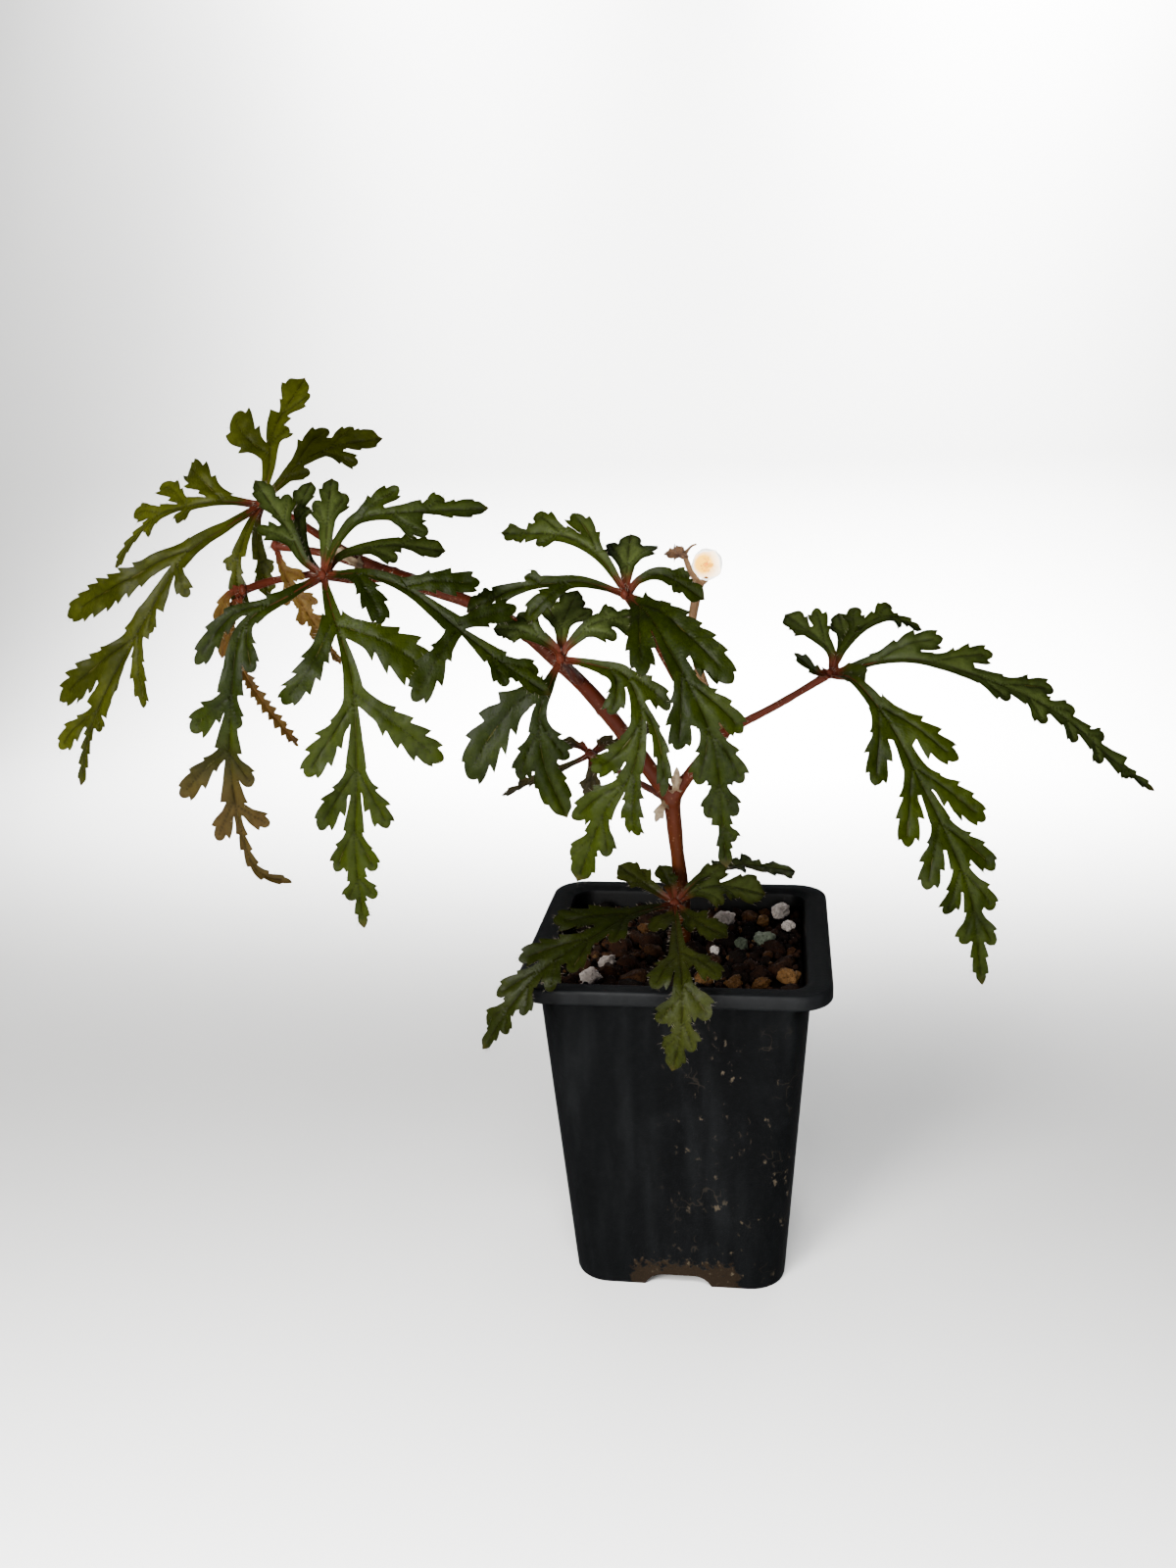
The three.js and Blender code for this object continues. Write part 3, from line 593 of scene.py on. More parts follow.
class Draft:
    """Vertices in millimetres, faces and painted values, gathered for one piece."""

    def __init__(self) -> None:
        """Starts empty."""
        self.points: list[np.ndarray] = []
        self.faces: list[Face] = []
        self.paint: list[dict[str, np.ndarray]] = []
        self.count = 0

    def add(self, points: np.ndarray, faces: Iterable[Sequence[int]], **paint: np.ndarray | float) -> None:
        """Adds one body.

        Args:
            points: its vertices, one row each.
            faces: vertex numbers within the body.
            paint: values for its vertices, by attribute name.
        """
        points = np.asarray(points, float).reshape(-1, 3)
        self.faces += [tuple(int(i) + self.count for i in face) for face in faces]
        self.points.append(points)
        self.paint.append({k: np.broadcast_to(np.asarray(v, float), len(points)) for k, v in paint.items()})
        self.count += len(points)

    def add_ball(self, centre: Point, size: Point | float, detail: int = 3) -> None:
        """Adds a ball.

        Args:
            centre: its middle.
            size: its radius, or one for each axis.
            detail: how finely it is divided.
        """
        sphere, faces = ball(detail)
        self.add(np.array(centre, float) + sphere * size, faces)

    def add_tube(self, points: Sequence[Point], radii: Sequence[float], sides: int, spacing: float,
                 rough: float = 0.0, seed: int = 0) -> None:
        """Adds a tapering stalk.

        Args:
            points: its way.
            radii: its radius, spread evenly along the way.
            sides: how many sides it has round.
            spacing: how far its rings stand apart.
            rough: how uneven its radius is.
            seed: picks that unevenness.
        """
        self.add(*tube(points, radii, sides, spacing, rough, seed)[:2])

    def make(self, name: str, finish: Finish, slot: str, replaces: Sequence[str] = ()) -> bpy.types.Object:
        """Turns the draft into a piece that rides on the root.

        Args:
            name: the piece's name.
            finish: its finish.
            slot: the record's material slot; not used.
            replaces: the CAD nodes that it stands for.

        Returns:
            The object.
        """
        mesh = bpy.data.meshes.new(name)
        mesh.from_pydata((np.vstack(self.points) * MM).tolist(), [], self.faces)
        for key in sorted({k for part in self.paint for k in part}):
            values = np.concatenate([
                part.get(key, np.zeros(len(points))) for part, points in zip(self.paint, self.points)])
            mesh.attributes.new(key, "FLOAT", "POINT").data.foreach_set("value", values.astype(np.float32))
        mesh.polygons.foreach_set("use_smooth", [True] * len(mesh.polygons))
        mesh.update()
        return dress(placed(name, mesh), finish, replaces)


def placed(name: str, data: bpy.types.ID) -> bpy.types.Object:
    """Puts data in the scene.

    Args:
        name: the new object's name.
        data: its mesh, light or camera.

    Returns:
        The object.
    """
    made = bpy.data.objects.new(name, data)
    bpy.context.scene.collection.objects.link(made)
    return made


def dress(piece: bpy.types.Object, finish: Finish,
          replaces: Sequence[str] = ()) -> bpy.types.Object:
    """Gives a piece its material and body.

    Args:
        piece: the object.
        finish: its finish.
        replaces: the CAD nodes that it stands for.

    Returns:
        The same object.
    """
    piece.data.materials.clear()
    piece.data.materials.append(Palette.of(finish))
    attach(piece, ROOT)
    if replaces:
        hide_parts(*replaces)
    return piece


def applied(piece: bpy.types.Object, kind: str, **settings: object) -> None:
    """Adds a modifier, and keeps its result as the mesh.

    Args:
        piece: the object that changes.
        kind: the modifier's type.
        settings: its properties.
    """
    modifier = piece.modifiers.new(kind.lower(), kind)
    for name, value in settings.items():
        setattr(modifier, name, value)
    bpy.context.view_layer.update()
    result = piece.evaluated_get(bpy.context.evaluated_depsgraph_get())
    mesh = bpy.data.meshes.new_from_object(result)
    piece.modifiers.clear()
    piece.data = mesh


class Route:
    """A smooth way through points, measured by its length."""

    steps = 40
    nearby = 0.4

    def __init__(self, points: Sequence[Point]) -> None:
        """Lays the way through the points.

        Args:
            points: where it passes, in order.
        """
        knots = np.array(points, float)
        knots = np.vstack([2 * knots[0] - knots[1], knots, 2 * knots[-1] - knots[-2]])
        t = np.linspace(0, 1, self.steps, endpoint=False)[:, None]
        spans = []
        for before, start, end, after in zip(knots, knots[1:], knots[2:], knots[3:]):
            leave, arrive = 0.5 * (end - before), 0.5 * (after - start)
            spans.append((2 * t**3 - 3 * t**2 + 1) * start + (t**3 - 2 * t**2 + t) * leave
                         + (3 * t**2 - 2 * t**3) * end + (t**3 - t**2) * arrive)
        self.line = np.vstack([*spans, knots[-2:-1]])
        steps = np.linalg.norm(np.diff(self.line, axis=0), axis=1)
        self.marks = np.concatenate([[0.0], np.cumsum(steps)])
        self.length = float(self.marks[-1])

    def along(self, distance: np.ndarray) -> np.ndarray:
        """Finds where the way leads.

        Args:
            distance: places along it.

        Returns:
            The unit direction at each.
        """
        near = np.clip(distance, 0, self.length)
        ahead = self._on(np.clip(near + self.nearby, 0, self.length))
        return unit(ahead - self._on(np.clip(near - self.nearby, 0, self.length)))

    def at(self, distance: np.ndarray) -> np.ndarray:
        """Returns: the points at these distances, straight on past the ends."""
        near = np.clip(distance, 0, self.length)
        return self._on(near) + self.along(near) * (distance - near)[:, None]

    def _on(self, distance: np.ndarray) -> np.ndarray:
        """Returns: points on the line itself."""
        return np.stack([np.interp(distance, self.marks, self.line[:, i]) for i in range(3)], axis=1)


def band_faces(rings: int, count: int) -> list[Face]:
    """Joins rings of points.

    Args:
        rings: how many there are.
        count: the points in each.

    Returns:
        The quads between them.
    """
    faces = []
    for r in range(rings - 1):
        for i in range(count):
            j = (i + 1) % count
            faces.append((r * count + i, r * count + j, (r + 1) * count + j, (r + 1) * count + i))
    return faces


def tube(points: Sequence[Point], radii: Sequence[float], sides: int, spacing: float,
         rough: float = 0.0, seed: int = 0) -> tuple[np.ndarray, list[Face], np.ndarray]:
    """Makes a tapering stalk with rounded ends.

    Args:
        points: the way it takes.
        radii: its radius at even steps along the way.
        sides: how many sides it has round.
        spacing: distance between its rings.
        rough: how far it strays from round.
        seed: picks the roughness.

    Returns:
        Its vertices, its faces and each vertex's share of the length.
    """
    route = Route(points)
    count = max(4, int(route.length / spacing) + 1)
    share = np.linspace(0, 1, count)
    centre, ahead = route.at(share * route.length), route.along(share * route.length)
    radius = np.interp(share, np.linspace(0, 1, len(radii)), radii)
    side = np.cross(ahead[0], (0.3, 0.9, 0.1))
    turn = np.arange(sides) / sides * 2 * math.pi
    rings = []
    for k in range(count):
        side = unit(side - ahead[k] * (side @ ahead[k]))
        across = np.cross(ahead[k], side)
        wobble = 1 + rough * np.sin(2 * turn + seed + share[k] * 9) * np.sin(share[k] * 31 + seed)
        rings.append(centre[k] + radius[k] * wobble[:, None] * (
            np.cos(turn)[:, None] * side + np.sin(turn)[:, None] * across))
    ends = [centre[0] - ahead[0] * radius[0] * 0.6, centre[-1] + ahead[-1] * radius[-1] * 0.6]
    vertices = np.vstack([*rings, ends])
    faces = band_faces(count, sides)
    low, high = len(vertices) - 2, len(vertices) - 1
    for i in range(sides):
        j = (i + 1) % sides
        faces.append((low, j, i))
        faces.append((high, (count - 1) * sides + i, (count - 1) * sides + j))
    return vertices, faces, np.concatenate([np.repeat(share, sides), [0.0, 1.0]])


def spikes(roots: np.ndarray, ways: np.ndarray, lengths: np.ndarray,
           radius: float = 0.05) -> tuple[np.ndarray, list[Face]]:
    """Makes hairs as thin three-sided spikes.

    Args:
        roots: where they stand.
        ways: where they point.
        lengths: how long they are.
        radius: half their width at the foot.

    Returns:
        Vertices and faces.
    """
    ways = unit(ways)
    side = unit(np.cross(ways, (0.31, 0.52, 0.79)))
    other = np.cross(ways, side)
    thirds = (0.0, 2.094, 4.189)
    feet = [roots + radius * (math.cos(a) * side + math.sin(a) * other) for a in thirds]
    points = np.stack([*feet, roots + ways * lengths[:, None]], axis=1).reshape(-1, 3)
    faces = [tuple(4 * n + i for i in face) for n in range(len(roots))
             for face in ((0, 1, 3), (1, 2, 3), (2, 0, 3), (2, 1, 0))]
    return points, faces


def ball(detail: int) -> tuple[np.ndarray, list[Face]]:
    """Makes a unit sphere of triangles.

    Args:
        detail: how often they are divided.

    Returns:
        Its vertices and faces.
    """
    made = bmesh.new()
    bmesh.ops.create_icosphere(made, subdivisions=detail, radius=1.0)
    points = np.array([v.co[:] for v in made.verts])
    faces = [tuple(v.index for v in f.verts) for f in made.faces]
    made.free()
    return points, faces


def inside(points: np.ndarray, outline: np.ndarray) -> np.ndarray:
    """Tells the points in an outline from the others.

    Args:
        points: flat points.
        outline: the corners of a closed line.

    Returns:
        Which of the points it winds round.
    """
    x, y = points[:, :1], points[:, 1:]
    (x1, y1), (x2, y2) = outline.T, np.roll(outline, -1, axis=0).T
    edge = x1 + (y - y1) * (x2 - x1) / np.where(y2 == y1, 1e-9, y2 - y1)
    rising = ((y1 <= y) & (y2 > y)).astype(int) - ((y1 > y) & (y2 <= y)).astype(int)
    return (rising * (x < edge)).sum(axis=1) != 0


def edges(corners: Sequence[int]) -> list[tuple[int, int]]:
    """Returns: the pairs of neighbouring corners round a face."""
    return list(zip(corners, [*corners[1:], corners[0]]))


def signed_areas(flat: np.ndarray, triangles: np.ndarray) -> np.ndarray:
    """Measures flat triangles.

    Args:
        flat: flat points.
        triangles: rows of three of them.

    Returns:
        Each triangle's area, negative where it runs clockwise.
    """
    start = flat[triangles[:, 0]]
    ahead, aside = flat[triangles[:, 1]] - start, flat[triangles[:, 2]] - start
    return (ahead[:, 0] * aside[:, 1] - ahead[:, 1] * aside[:, 0]) / 2


def small_holes(flat: np.ndarray, triangles: np.ndarray, covered: np.ndarray,
                most: float = 3.0) -> np.ndarray:
    """Finds the slivers that lie between overlapping outlines, closed in on all sides.

    Args:
        flat: flat points.
        triangles: all triangles between them.
        covered: which of these lie in an outline.
        most: area of the largest sliver in square millimetres.

    Returns:
        Which triangles belong to such a sliver.
    """
    corners = triangles.tolist()
    bare = np.flatnonzero(~covered).tolist()
    beside: dict[tuple[int, ...], list[int]] = {}
    for i in bare:
        for edge in edges(corners[i]):
            beside.setdefault(tuple(sorted(edge)), []).append(i)
    taken = {tuple(sorted(edge)) for i in np.flatnonzero(covered) for edge in edges(corners[i])}
    area = np.abs(signed_areas(flat, triangles))
    filled = np.zeros(len(triangles), dtype=bool)
    seen: set[int] = set()
    for first in bare:
        if first in seen:
            continue
        group, waiting, closed = [], [first], True
        seen.add(first)
        while waiting:
            i = waiting.pop()
            group.append(i)
            for edge in edges(corners[i]):
                pair = tuple(sorted(edge))
                others = [j for j in beside[pair] if j != i]
                closed = closed and (bool(others) or pair in taken)
                fresh = [j for j in others if j not in seen]
                seen.update(fresh)
                waiting += fresh
        if closed and area[group].sum() < most:
            filled[group] = True
    return filled


def nearest(points: np.ndarray, targets: np.ndarray) -> np.ndarray:
    """Measures to the nearest of many points.

    Args:
        points: flat points.
        targets: the flat points to measure to.

    Returns:
        Each point's distance to the nearest target.
    """
    tree = KDTree(len(targets))
    for i, (x, y) in enumerate(targets):
        tree.insert((x, y, 0.0), i)
    tree.balance()
    return np.array([tree.find((x, y, 0.0))[2] for x, y in points])


def even(line: np.ndarray, spacing: float) -> tuple[np.ndarray, np.ndarray]:
    """Spaces the points of a line evenly.

    Args:
        line: flat points along a line.
        spacing: the step between the new points.

    Returns:
        The same line in even steps, and each point's share of its length.
    """
    marks = np.concatenate([[0.0], np.cumsum(np.linalg.norm(np.diff(line, axis=0), axis=1))])
    share = np.linspace(0, 1, max(4, int(marks[-1] / spacing) + 1))
    return np.stack([np.interp(share * marks[-1], marks, column) for column in line.T], axis=1), share


def line_between(start: Point, end: Point, spacing: float) -> np.ndarray:
    """Draws a straight line.

    Args:
        start: its first flat point.
        end: its last.
        spacing: about how far the points stand apart.

    Returns:
        Its points in even steps.
    """
    start, end = np.array(start, float), np.array(end, float)
    count = max(2, int(np.linalg.norm(end - start) / spacing) + 1)
    return start + np.linspace(0, 1, count)[:, None] * (end - start)


# Leaves

@dataclass(frozen=True)
class Lobe:
    """One lobe or tooth on a side of a leaflet, in the flat plane of its blade."""

    share: float
    reach: float
    angle: float = 40.0
    width: float | None = None
    crown: float = 0.66
    tooth_step: float = 3.8
    lean: float = 2.0
    bow: float = 0.12

    def turn(self) -> float:
        """Returns: the angle between lobe and midrib in radians."""
        return math.radians(self.angle - self.lean)

    def axis(self, length: float, side: int) -> tuple[np.ndarray, np.ndarray, np.ndarray]:
        """Places the lobe on its leaflet.

        Args:
            length: the leaflet's length.
            side: 1 on the left of the midrib, -1 on the right.

        Returns:
            The lobe's root, its direction and the direction across it, away from the hub.
        """
        turn = self.turn()
        root = np.array([self.share * length, 0.0])
        ahead = np.array([math.cos(turn), side * math.sin(turn)])
        across = np.array([math.sin(turn), -side * math.cos(turn)])
        return root, ahead, across

    def wanted(self) -> float:
        """Returns: the lobe's width where nothing stands beside it."""
        return self.width or 0.15 * self.reach + 2.5

    def broad(self, room: float) -> float:
        """Finds how wide the lobe can be.

        Args:
            room: distance along the midrib to the next lobe.

        Returns:
            The lobe's width, kept off its neighbours.
        """
        return min(self.wanted(), 0.85 * self.reach, 0.98 * room * math.sin(self.turn()))

    def beside(self, outline: np.ndarray, side: int) -> np.ndarray:
        """Returns: the outline kept on its own side of the midrib."""
        return np.stack([outline[:, 0], side * np.maximum(side * outline[:, 1], 0.05)], axis=1)

    def outline(self, length: float, side: int, room: float, draw: random.Random) -> np.ndarray:
        """Draws the lobe.

        Args:
            length: the leaflet's length.
            side: 1 on the left of the midrib, -1 on the right.
            room: distance along the midrib to the next lobe.
            draw: seeded chance for the teeth.

        Returns:
            The lobe's closed toothed outline, from its rear root round its tip to its front root.
        """
        wide = self.broad(room)
        root, ahead, across = self.axis(length, side)
        edges = []
        for share, turn in ((0.47, -1), (0.53, 1)):
            out, aside = self.edge(share * wide, draw).T
            if turn < 0:
                aside = aside + 0.2 * wide * np.exp(-out / 1.8)
            bend = self.bow * wide * (out / self.reach) ** 2
            edges.append(root + np.outer(out, ahead) + np.outer(turn * aside + bend, across))
        rear, front = edges
        return self.beside(np.vstack([rear, front[::-1]]), side)

    def edge(self, half: float, draw: random.Random) -> np.ndarray:
        """Draws one of the two edges.

        Args:
            half: how far the edge lies off the lobe's axis where it is broadest.
            draw: seeded chance for the teeth.

        Returns:
            Rows of (distance along the axis, distance off it) from the root to the tip, with a few
            coarse teeth that point forwards.
        """
        rise = np.sin(np.linspace(0, math.pi / 2, 80))
        taper = np.clip((rise - self.crown) / (1 - self.crown), 0, 1)
        bulge = half * (0.56 + 0.44 * smooth(rise, 0.1, 0.62)) * np.sqrt(1 - taper**2.4)
        line, share = even(np.stack([rise * self.reach, bulge], axis=1), 0.3)
        ahead = unit(np.gradient(line, axis=0))
        outward = np.stack([-ahead[:, 1], ahead[:, 0]], axis=1)
        place = share * max(2, round(self.reach / self.tooth_step)) + draw.uniform(0.5, 0.8)
        phase, number = np.modf(place)
        sizes = np.array([draw.uniform(0.6, 1.25) for _ in range(int(place[-1]) + 1)])[number.astype(int)]
        size = min(1.5, 0.5 * half) * sizes * smooth(share, 0.2, 0.42) * (1 - 0.5 * smooth(share, 0.75, 1.0))
        jut = size * (phase**1.3 - 0.45)
        return line + outward * jut[:, None] + ahead * (0.5 * size * phase**4)[:, None]


@dataclass(frozen=True)
class Leaflet:
    """One leaflet: its way from the hub, its lobes on either side, and its end."""

    along: tuple[Point, ...]
    left: tuple[tuple[float, ...], ...] = ()
    right: tuple[tuple[float, ...], ...] = ()
    tip: float | None = None
    slim: float = 1.0
    wing: float = 1.0
    comb: float = 0.0
    wither: float = 0.97
    thick: float = 0.34
    # share of the painted sheen: a paler skin that stands in for the light the leaflet's upper face would
    # catch
    pale: float = 0.0


class Blade:
    """The toothed, veined blade of one leaflet."""

    spacing = 0.3
    lattice = 0.7
    strip = 0.55
    waist = 0.75
    saw_step = 3.7
    comb_step = 2.1
    vein_step = 2.7
    rib_side = 0.42
    clearance = 0.34
    row_step = 0.87
    hair_share = 0.17
    least_area = 0.5e-5

    def __init__(self, leaflet: Leaflet, hub: Point, facing: Point, seed: int) -> None:
        """Lays out the midrib and the lobes.

        Args:
            leaflet: what it is cut to.
            hub: where the leaflets meet.
            facing: where the upper face looks.
            seed: picks its teeth and hairs.
        """
        self.leaflet = leaflet
        self.route = Route([hub, *(np.array(hub, float) + p for p in leaflet.along)])
        self.length = self.route.length
        self.facing = np.array(facing, float)
        self.draw = random.Random(seed)
        self.seed = seed
        self.sides = {1: [Lobe(*lobe) for lobe in leaflet.left], -1: [Lobe(*lobe) for lobe in leaflet.right]}
        shares = [lobe.share for lobes in self.sides.values() for lobe in lobes]
        self.tip_start = min(0.9, max([0.2, *shares]))
        self.tip_half = leaflet.tip or 0.17 * (1 - self.tip_start) * self.length + 0.8
        self.main, self.fine = self.veins()

    def place(self, flat: np.ndarray, height: np.ndarray) -> np.ndarray:
        """Bends flat points on to the leaflet.

        Args:
            flat: (distance, offset to the left) rows.
            height: how far each lies above the blade's middle surface.

        Returns:
            Points in space, on a blade whose sides rise from the midrib and droop at the margin.
        """
        distance, offset = flat[:, 0], flat[:, 1]
        ahead = self.route.along(distance)
        up = unit(self.facing - ahead * (ahead @ self.facing)[:, None])
        left = np.cross(up, ahead)
        side = np.abs(offset)
        rise = height + 0.14 * side - 0.012 * side**2
        return self.route.at(distance) + left * offset[:, None] + up * rise[:, None]

    def web(self, distance: np.ndarray, side: int) -> np.ndarray:
        """Finds the width of the blade without its lobes.

        Args:
            distance: places along the midrib.
            side: 1 on the left, -1 on the right.

        Returns:
            Half the width of the strip along the midrib: a wedge up to each lobe, then the end lobe.
        """
        shares = sorted(lobe.share for lobe in self.sides[side])
        first = shares[0] if shares else 1.0
        half = []
        for share in distance / self.length:
            if share > self.tip_start:
                end = (share - self.tip_start) / (1 - self.tip_start)
                saw = math.modf(share * self.length / self.saw_step + 0.31 * (self.seed + 3 * side))[0] ** 0.8
                rise, fall = float(smooth(end, 0.1, 0.3)), float(smooth(end, 1.0, 0.85))
                bulge = max(0.0, math.sin(math.pi * end**1.4))
                tooth = 0.7 * (saw - 0.5) * rise * fall
                half.append(self.waist + (self.tip_half - self.waist) * bulge + tooth)
                continue
            before = max([0.0, *(s for s in shares if s < share)])
            after = min([s for s in shares if s >= share] + [self.tip_start])
            wedge = (share - before) / max(after - before, 0.01)
            half.append(self.strip + self.leaflet.wing * (1.2 if share < first else 1.7) * wedge**1.25)
        pointed = np.clip((self.length - distance) / 1.8, 0, 1) ** 0.6
        comb = self.leaflet.comb * (np.modf(distance / self.comb_step + 0.5 * (side > 0))[0] - 0.2)
        return (np.array(half) * self.leaflet.slim + comb * smooth(distance, 0, 3)) * pointed

    def outlines(self) -> list[np.ndarray]:
        """Returns: the closed flat outlines whose union is the blade."""
        distance = np.linspace(0, self.length, int(self.length / self.spacing) + 4)
        left = np.stack([distance, self.web(distance, 1)], axis=1)
        right = np.stack([distance, -self.web(distance, -1)], axis=1)
        made = [np.vstack([right, left[::-1][1:]])]
        for side, lobes in self.sides.items():
            for i, lobe in enumerate(lobes):
                gaps = [abs(lobes[j].share - lobe.share) * self.length for j in (i - 1, i + 1)
                        if 0 <= j < len(lobes)]
                made.append(lobe.outline(self.length, side, min([99.0, *gaps]), self.draw))
        return made

    def veins(self) -> tuple[list[np.ndarray], list[np.ndarray]]:
        """Returns: the main veins and the fine side veins, as rows of flat points."""
        main = [line_between((0.4, 0), (self.length * 0.97, 0), 0.8)]
        fine = []
        for side, lobes in self.sides.items():
            for lobe in lobes:
                root, ahead, across = lobe.axis(self.length, side)
                wide = lobe.wanted()
                shares = np.linspace(0, 0.86, max(3, int(lobe.reach / 0.8)))[:, None]
                main.append(root + ahead * shares * lobe.reach + across * lobe.bow * wide * shares**2)
                for t in np.arange(3.4, lobe.reach * 0.85, self.vein_step) / lobe.reach:
                    start = root + ahead * t * lobe.reach + across * lobe.bow * wide * t**2
                    for turn in (-1, 1):
                        way = ahead * 0.8 + across * turn * 0.6
                        fine.append(line_between(start, start + way * wide * 0.55, 0.35))
        for distance in np.arange(self.tip_start * self.length + 2, self.length - 1.5, self.vein_step):
            for turn in (-1, 1):
                reach = self.tip_half * self.leaflet.slim
                fine.append(line_between((distance, 0), (distance + reach, turn * reach * 0.9), 0.35))
        return main, fine

    def settle(self, flat: np.ndarray) -> tuple[np.ndarray, np.ndarray]:
        """Lets the lobes hang.

        Args:
            flat: flat points of the blade.

        Returns:
            How far each rises or droops as its lobe hangs and twists, and the lobe's own tone.
        """
        lift, tone = np.zeros(len(flat)), np.zeros(len(flat))
        draw = random.Random(self.seed + 1000)
        for side, lobes in self.sides.items():
            best = np.full(len(flat), 1e9)
            weight = smooth(side * flat[:, 1], 1.2, 4.5)
            for lobe in lobes:
                root, ahead, across = lobe.axis(self.length, side)
                out, aside = (flat - root) @ ahead, (flat - root) @ across
                away = np.hypot(aside, np.maximum(out - lobe.reach, 0) + np.maximum(-out, 0))
                share = np.clip(out / lobe.reach, 0, 1.1)
                droop = draw.uniform(-0.2, 1.5) * min(1.0, lobe.reach / 14)
                twist, own_tone = draw.uniform(-0.26, 0.26), draw.uniform(-0.5, 0.5)
                own = (away < best) & (side * flat[:, 1] > 1.0)
                lift = np.where(own, (twist * aside * share - droop * share**2) * weight, lift)
                tone = np.where(own, own_tone * weight, tone)
                best = np.minimum(away, best)
        return lift, tone

    def mesh(self) -> tuple[np.ndarray, list[tuple[int, int, int]]]:
        """Returns: flat vertices and triangles of the blade."""
        outlines = self.outlines()
        points = [tuple(p) for outline in outlines for p in outline]
        faces, start = [], 0
        for outline in outlines:
            faces.append(list(range(start, start + len(outline))))
            start += len(outline)
        for vein in self.main:
            covered = np.any([inside(vein, outline) for outline in outlines], axis=0)
            for i, (x, y) in enumerate(vein):
                if covered[i]:
                    points += [(x, y), (x, y + self.rib_side), (x, y - self.rib_side)]
        corner_low, corner_high = np.min(points, axis=0), np.max(points, axis=0)
        rows = np.arange(corner_low[1], corner_high[1], self.lattice * self.row_step)
        grid = np.array([(x + (k % 2) * self.lattice / 2, y) for k, y in enumerate(rows)
                         for x in np.arange(corner_low[0], corner_high[0], self.lattice)])
        grid = grid[np.any([inside(grid, outline) for outline in outlines], axis=0)]
        clear = nearest(grid, np.array(points)) > self.clearance
        points += [tuple(p) for p in grid[clear]]
        result = delaunay_2d_cdt([Vector(p) for p in points], [], faces, 0, 1e-4)
        flat = np.array([tuple(p) for p in result[0]])
        triangles = np.array([tuple(f) for f in result[2] if len(f) == 3])
        middle = flat[triangles].mean(axis=1)
        covered = np.any([inside(middle, outline) for outline in outlines], axis=0)
        triangles = triangles[covered | small_holes(flat, triangles, covered)]
        area = signed_areas(flat, triangles)
        triangles = np.where((area < 0)[:, None], triangles[:, ::-1], triangles)
        used, triangles = np.unique(triangles[np.abs(area) > self.least_area], return_inverse=True)
        return flat[used], triangles.reshape(-1, 3)

    def build(self, draft: Draft, hairs: Draft) -> None:
        """Adds the blade, its ribs and its hairs.

        Args:
            draft: the leaf's own draft.
            hairs: the draft of the leaf's hairs.
        """
        flat, triangles = self.mesh()
        directed = {edge for corners in triangles.tolist() for edge in edges(corners)}
        border = [(a, b) for a, b in directed if (b, a) not in directed]
        rim_points = flat[[a for a, _ in border]]
        to_rim = nearest(flat, rim_points)
        to_main = nearest(flat, np.vstack(self.main))
        to_fine = nearest(flat, np.vstack(self.fine)) if self.fine else np.full(len(flat), 9.0)
        distance, offset = flat.T
        ripple = (np.sin(0.55 * distance + self.seed) + np.sin(0.8 * offset - 0.3 * distance + 2 * self.seed)
                  + 0.6 * np.sin(1.3 * distance + 1.1 * offset))
        body = smooth(to_rim, 0.0, 1.1)
        lift, tone = self.settle(flat)
        upper = (0.3 * (1 - np.exp(-to_main / 1.0)) - 0.2 * np.exp(-(to_main / 0.34) ** 2)
                 - 0.08 * np.exp(-(to_fine / 0.3) ** 2) * body - 0.12 * np.exp(-(to_rim / 0.7) ** 2)
                 + 0.2 * ripple * smooth(np.abs(offset), 0.5, 3.0) + lift)
        thick = self.leaflet.thick * (0.6 + 0.4 * body) + 0.22 * np.exp(-(to_main / 0.5) ** 2)
        top, bottom = self.place(flat, upper + 0.1), self.place(flat, upper + 0.1 - thick)
        count = len(flat)
        faces = [tuple(t) for t in triangles] + [tuple(t[::-1] + count) for t in triangles]
        faces += [(a + count, b + count, b, a) for a, b in border]
        stalk = smooth(distance, 5.5, 2.0)
        full = self.leaflet.wither + max(0.05, 0.5 * (1 - self.leaflet.wither))
        wither = smooth(distance / self.length, self.leaflet.wither, full)
        tone = tone + 0.4 * math.sin(self.seed * 2.7)
        # the sheen share fades out at the margin and becomes a painted sheen in the leaf material
        shared = dict(stalk=stalk, wither=wither, rim=np.exp(-(to_rim / 0.35) ** 2), tone=tone,
                      pale=self.leaflet.pale * smooth(to_rim, 0.0, 1.5),
                      vein=np.maximum(np.exp(-(to_main / 0.3) ** 2), 0.5 * np.exp(-(to_fine / 0.27) ** 2)))
        paint = {key: np.tile(np.broadcast_to(value, count), 2) for key, value in shared.items()}
        draft.add(np.vstack([top, bottom]), faces, under=np.repeat([0.0, 1.0], count), **paint)
        self.add_ribs(draft)
        self.add_hairs(hairs, flat, border, upper)

    def add_ribs(self, draft: Draft) -> None:
        """Adds the ribs under the midrib and the lobes.

        Args:
            draft: the leaf's own draft.
        """
        for i, vein in enumerate(self.main):
            if i and len(vein) < 8:
                continue
            first = 0.78 if i == 0 else 0.3
            reach = np.linspace(0, 1, len(vein))
            waist = 1 - smooth(reach, 0.0, 0.22) * (0.45 if i == 0 else 0.1)
            radius = np.maximum(first * waist * (1 - 0.75 * reach), 0.08)
            sink = self.settle(vein)[0] - 0.62 * radius - (0.3 if i else 0.16)
            spine = self.place(vein[::2], sink[::2])
            vertices, faces, share = tube(spine, radius[::2].tolist(), 6, 1.8)
            base = smooth(share, 0.3, 0.02) if i == 0 else np.zeros(len(share))
            draft.add(vertices, faces, stalk=base, under=0.9, tone=0.2,
                      wither=smooth(share, self.leaflet.wither, 1.1) if i == 0 else 0.0)

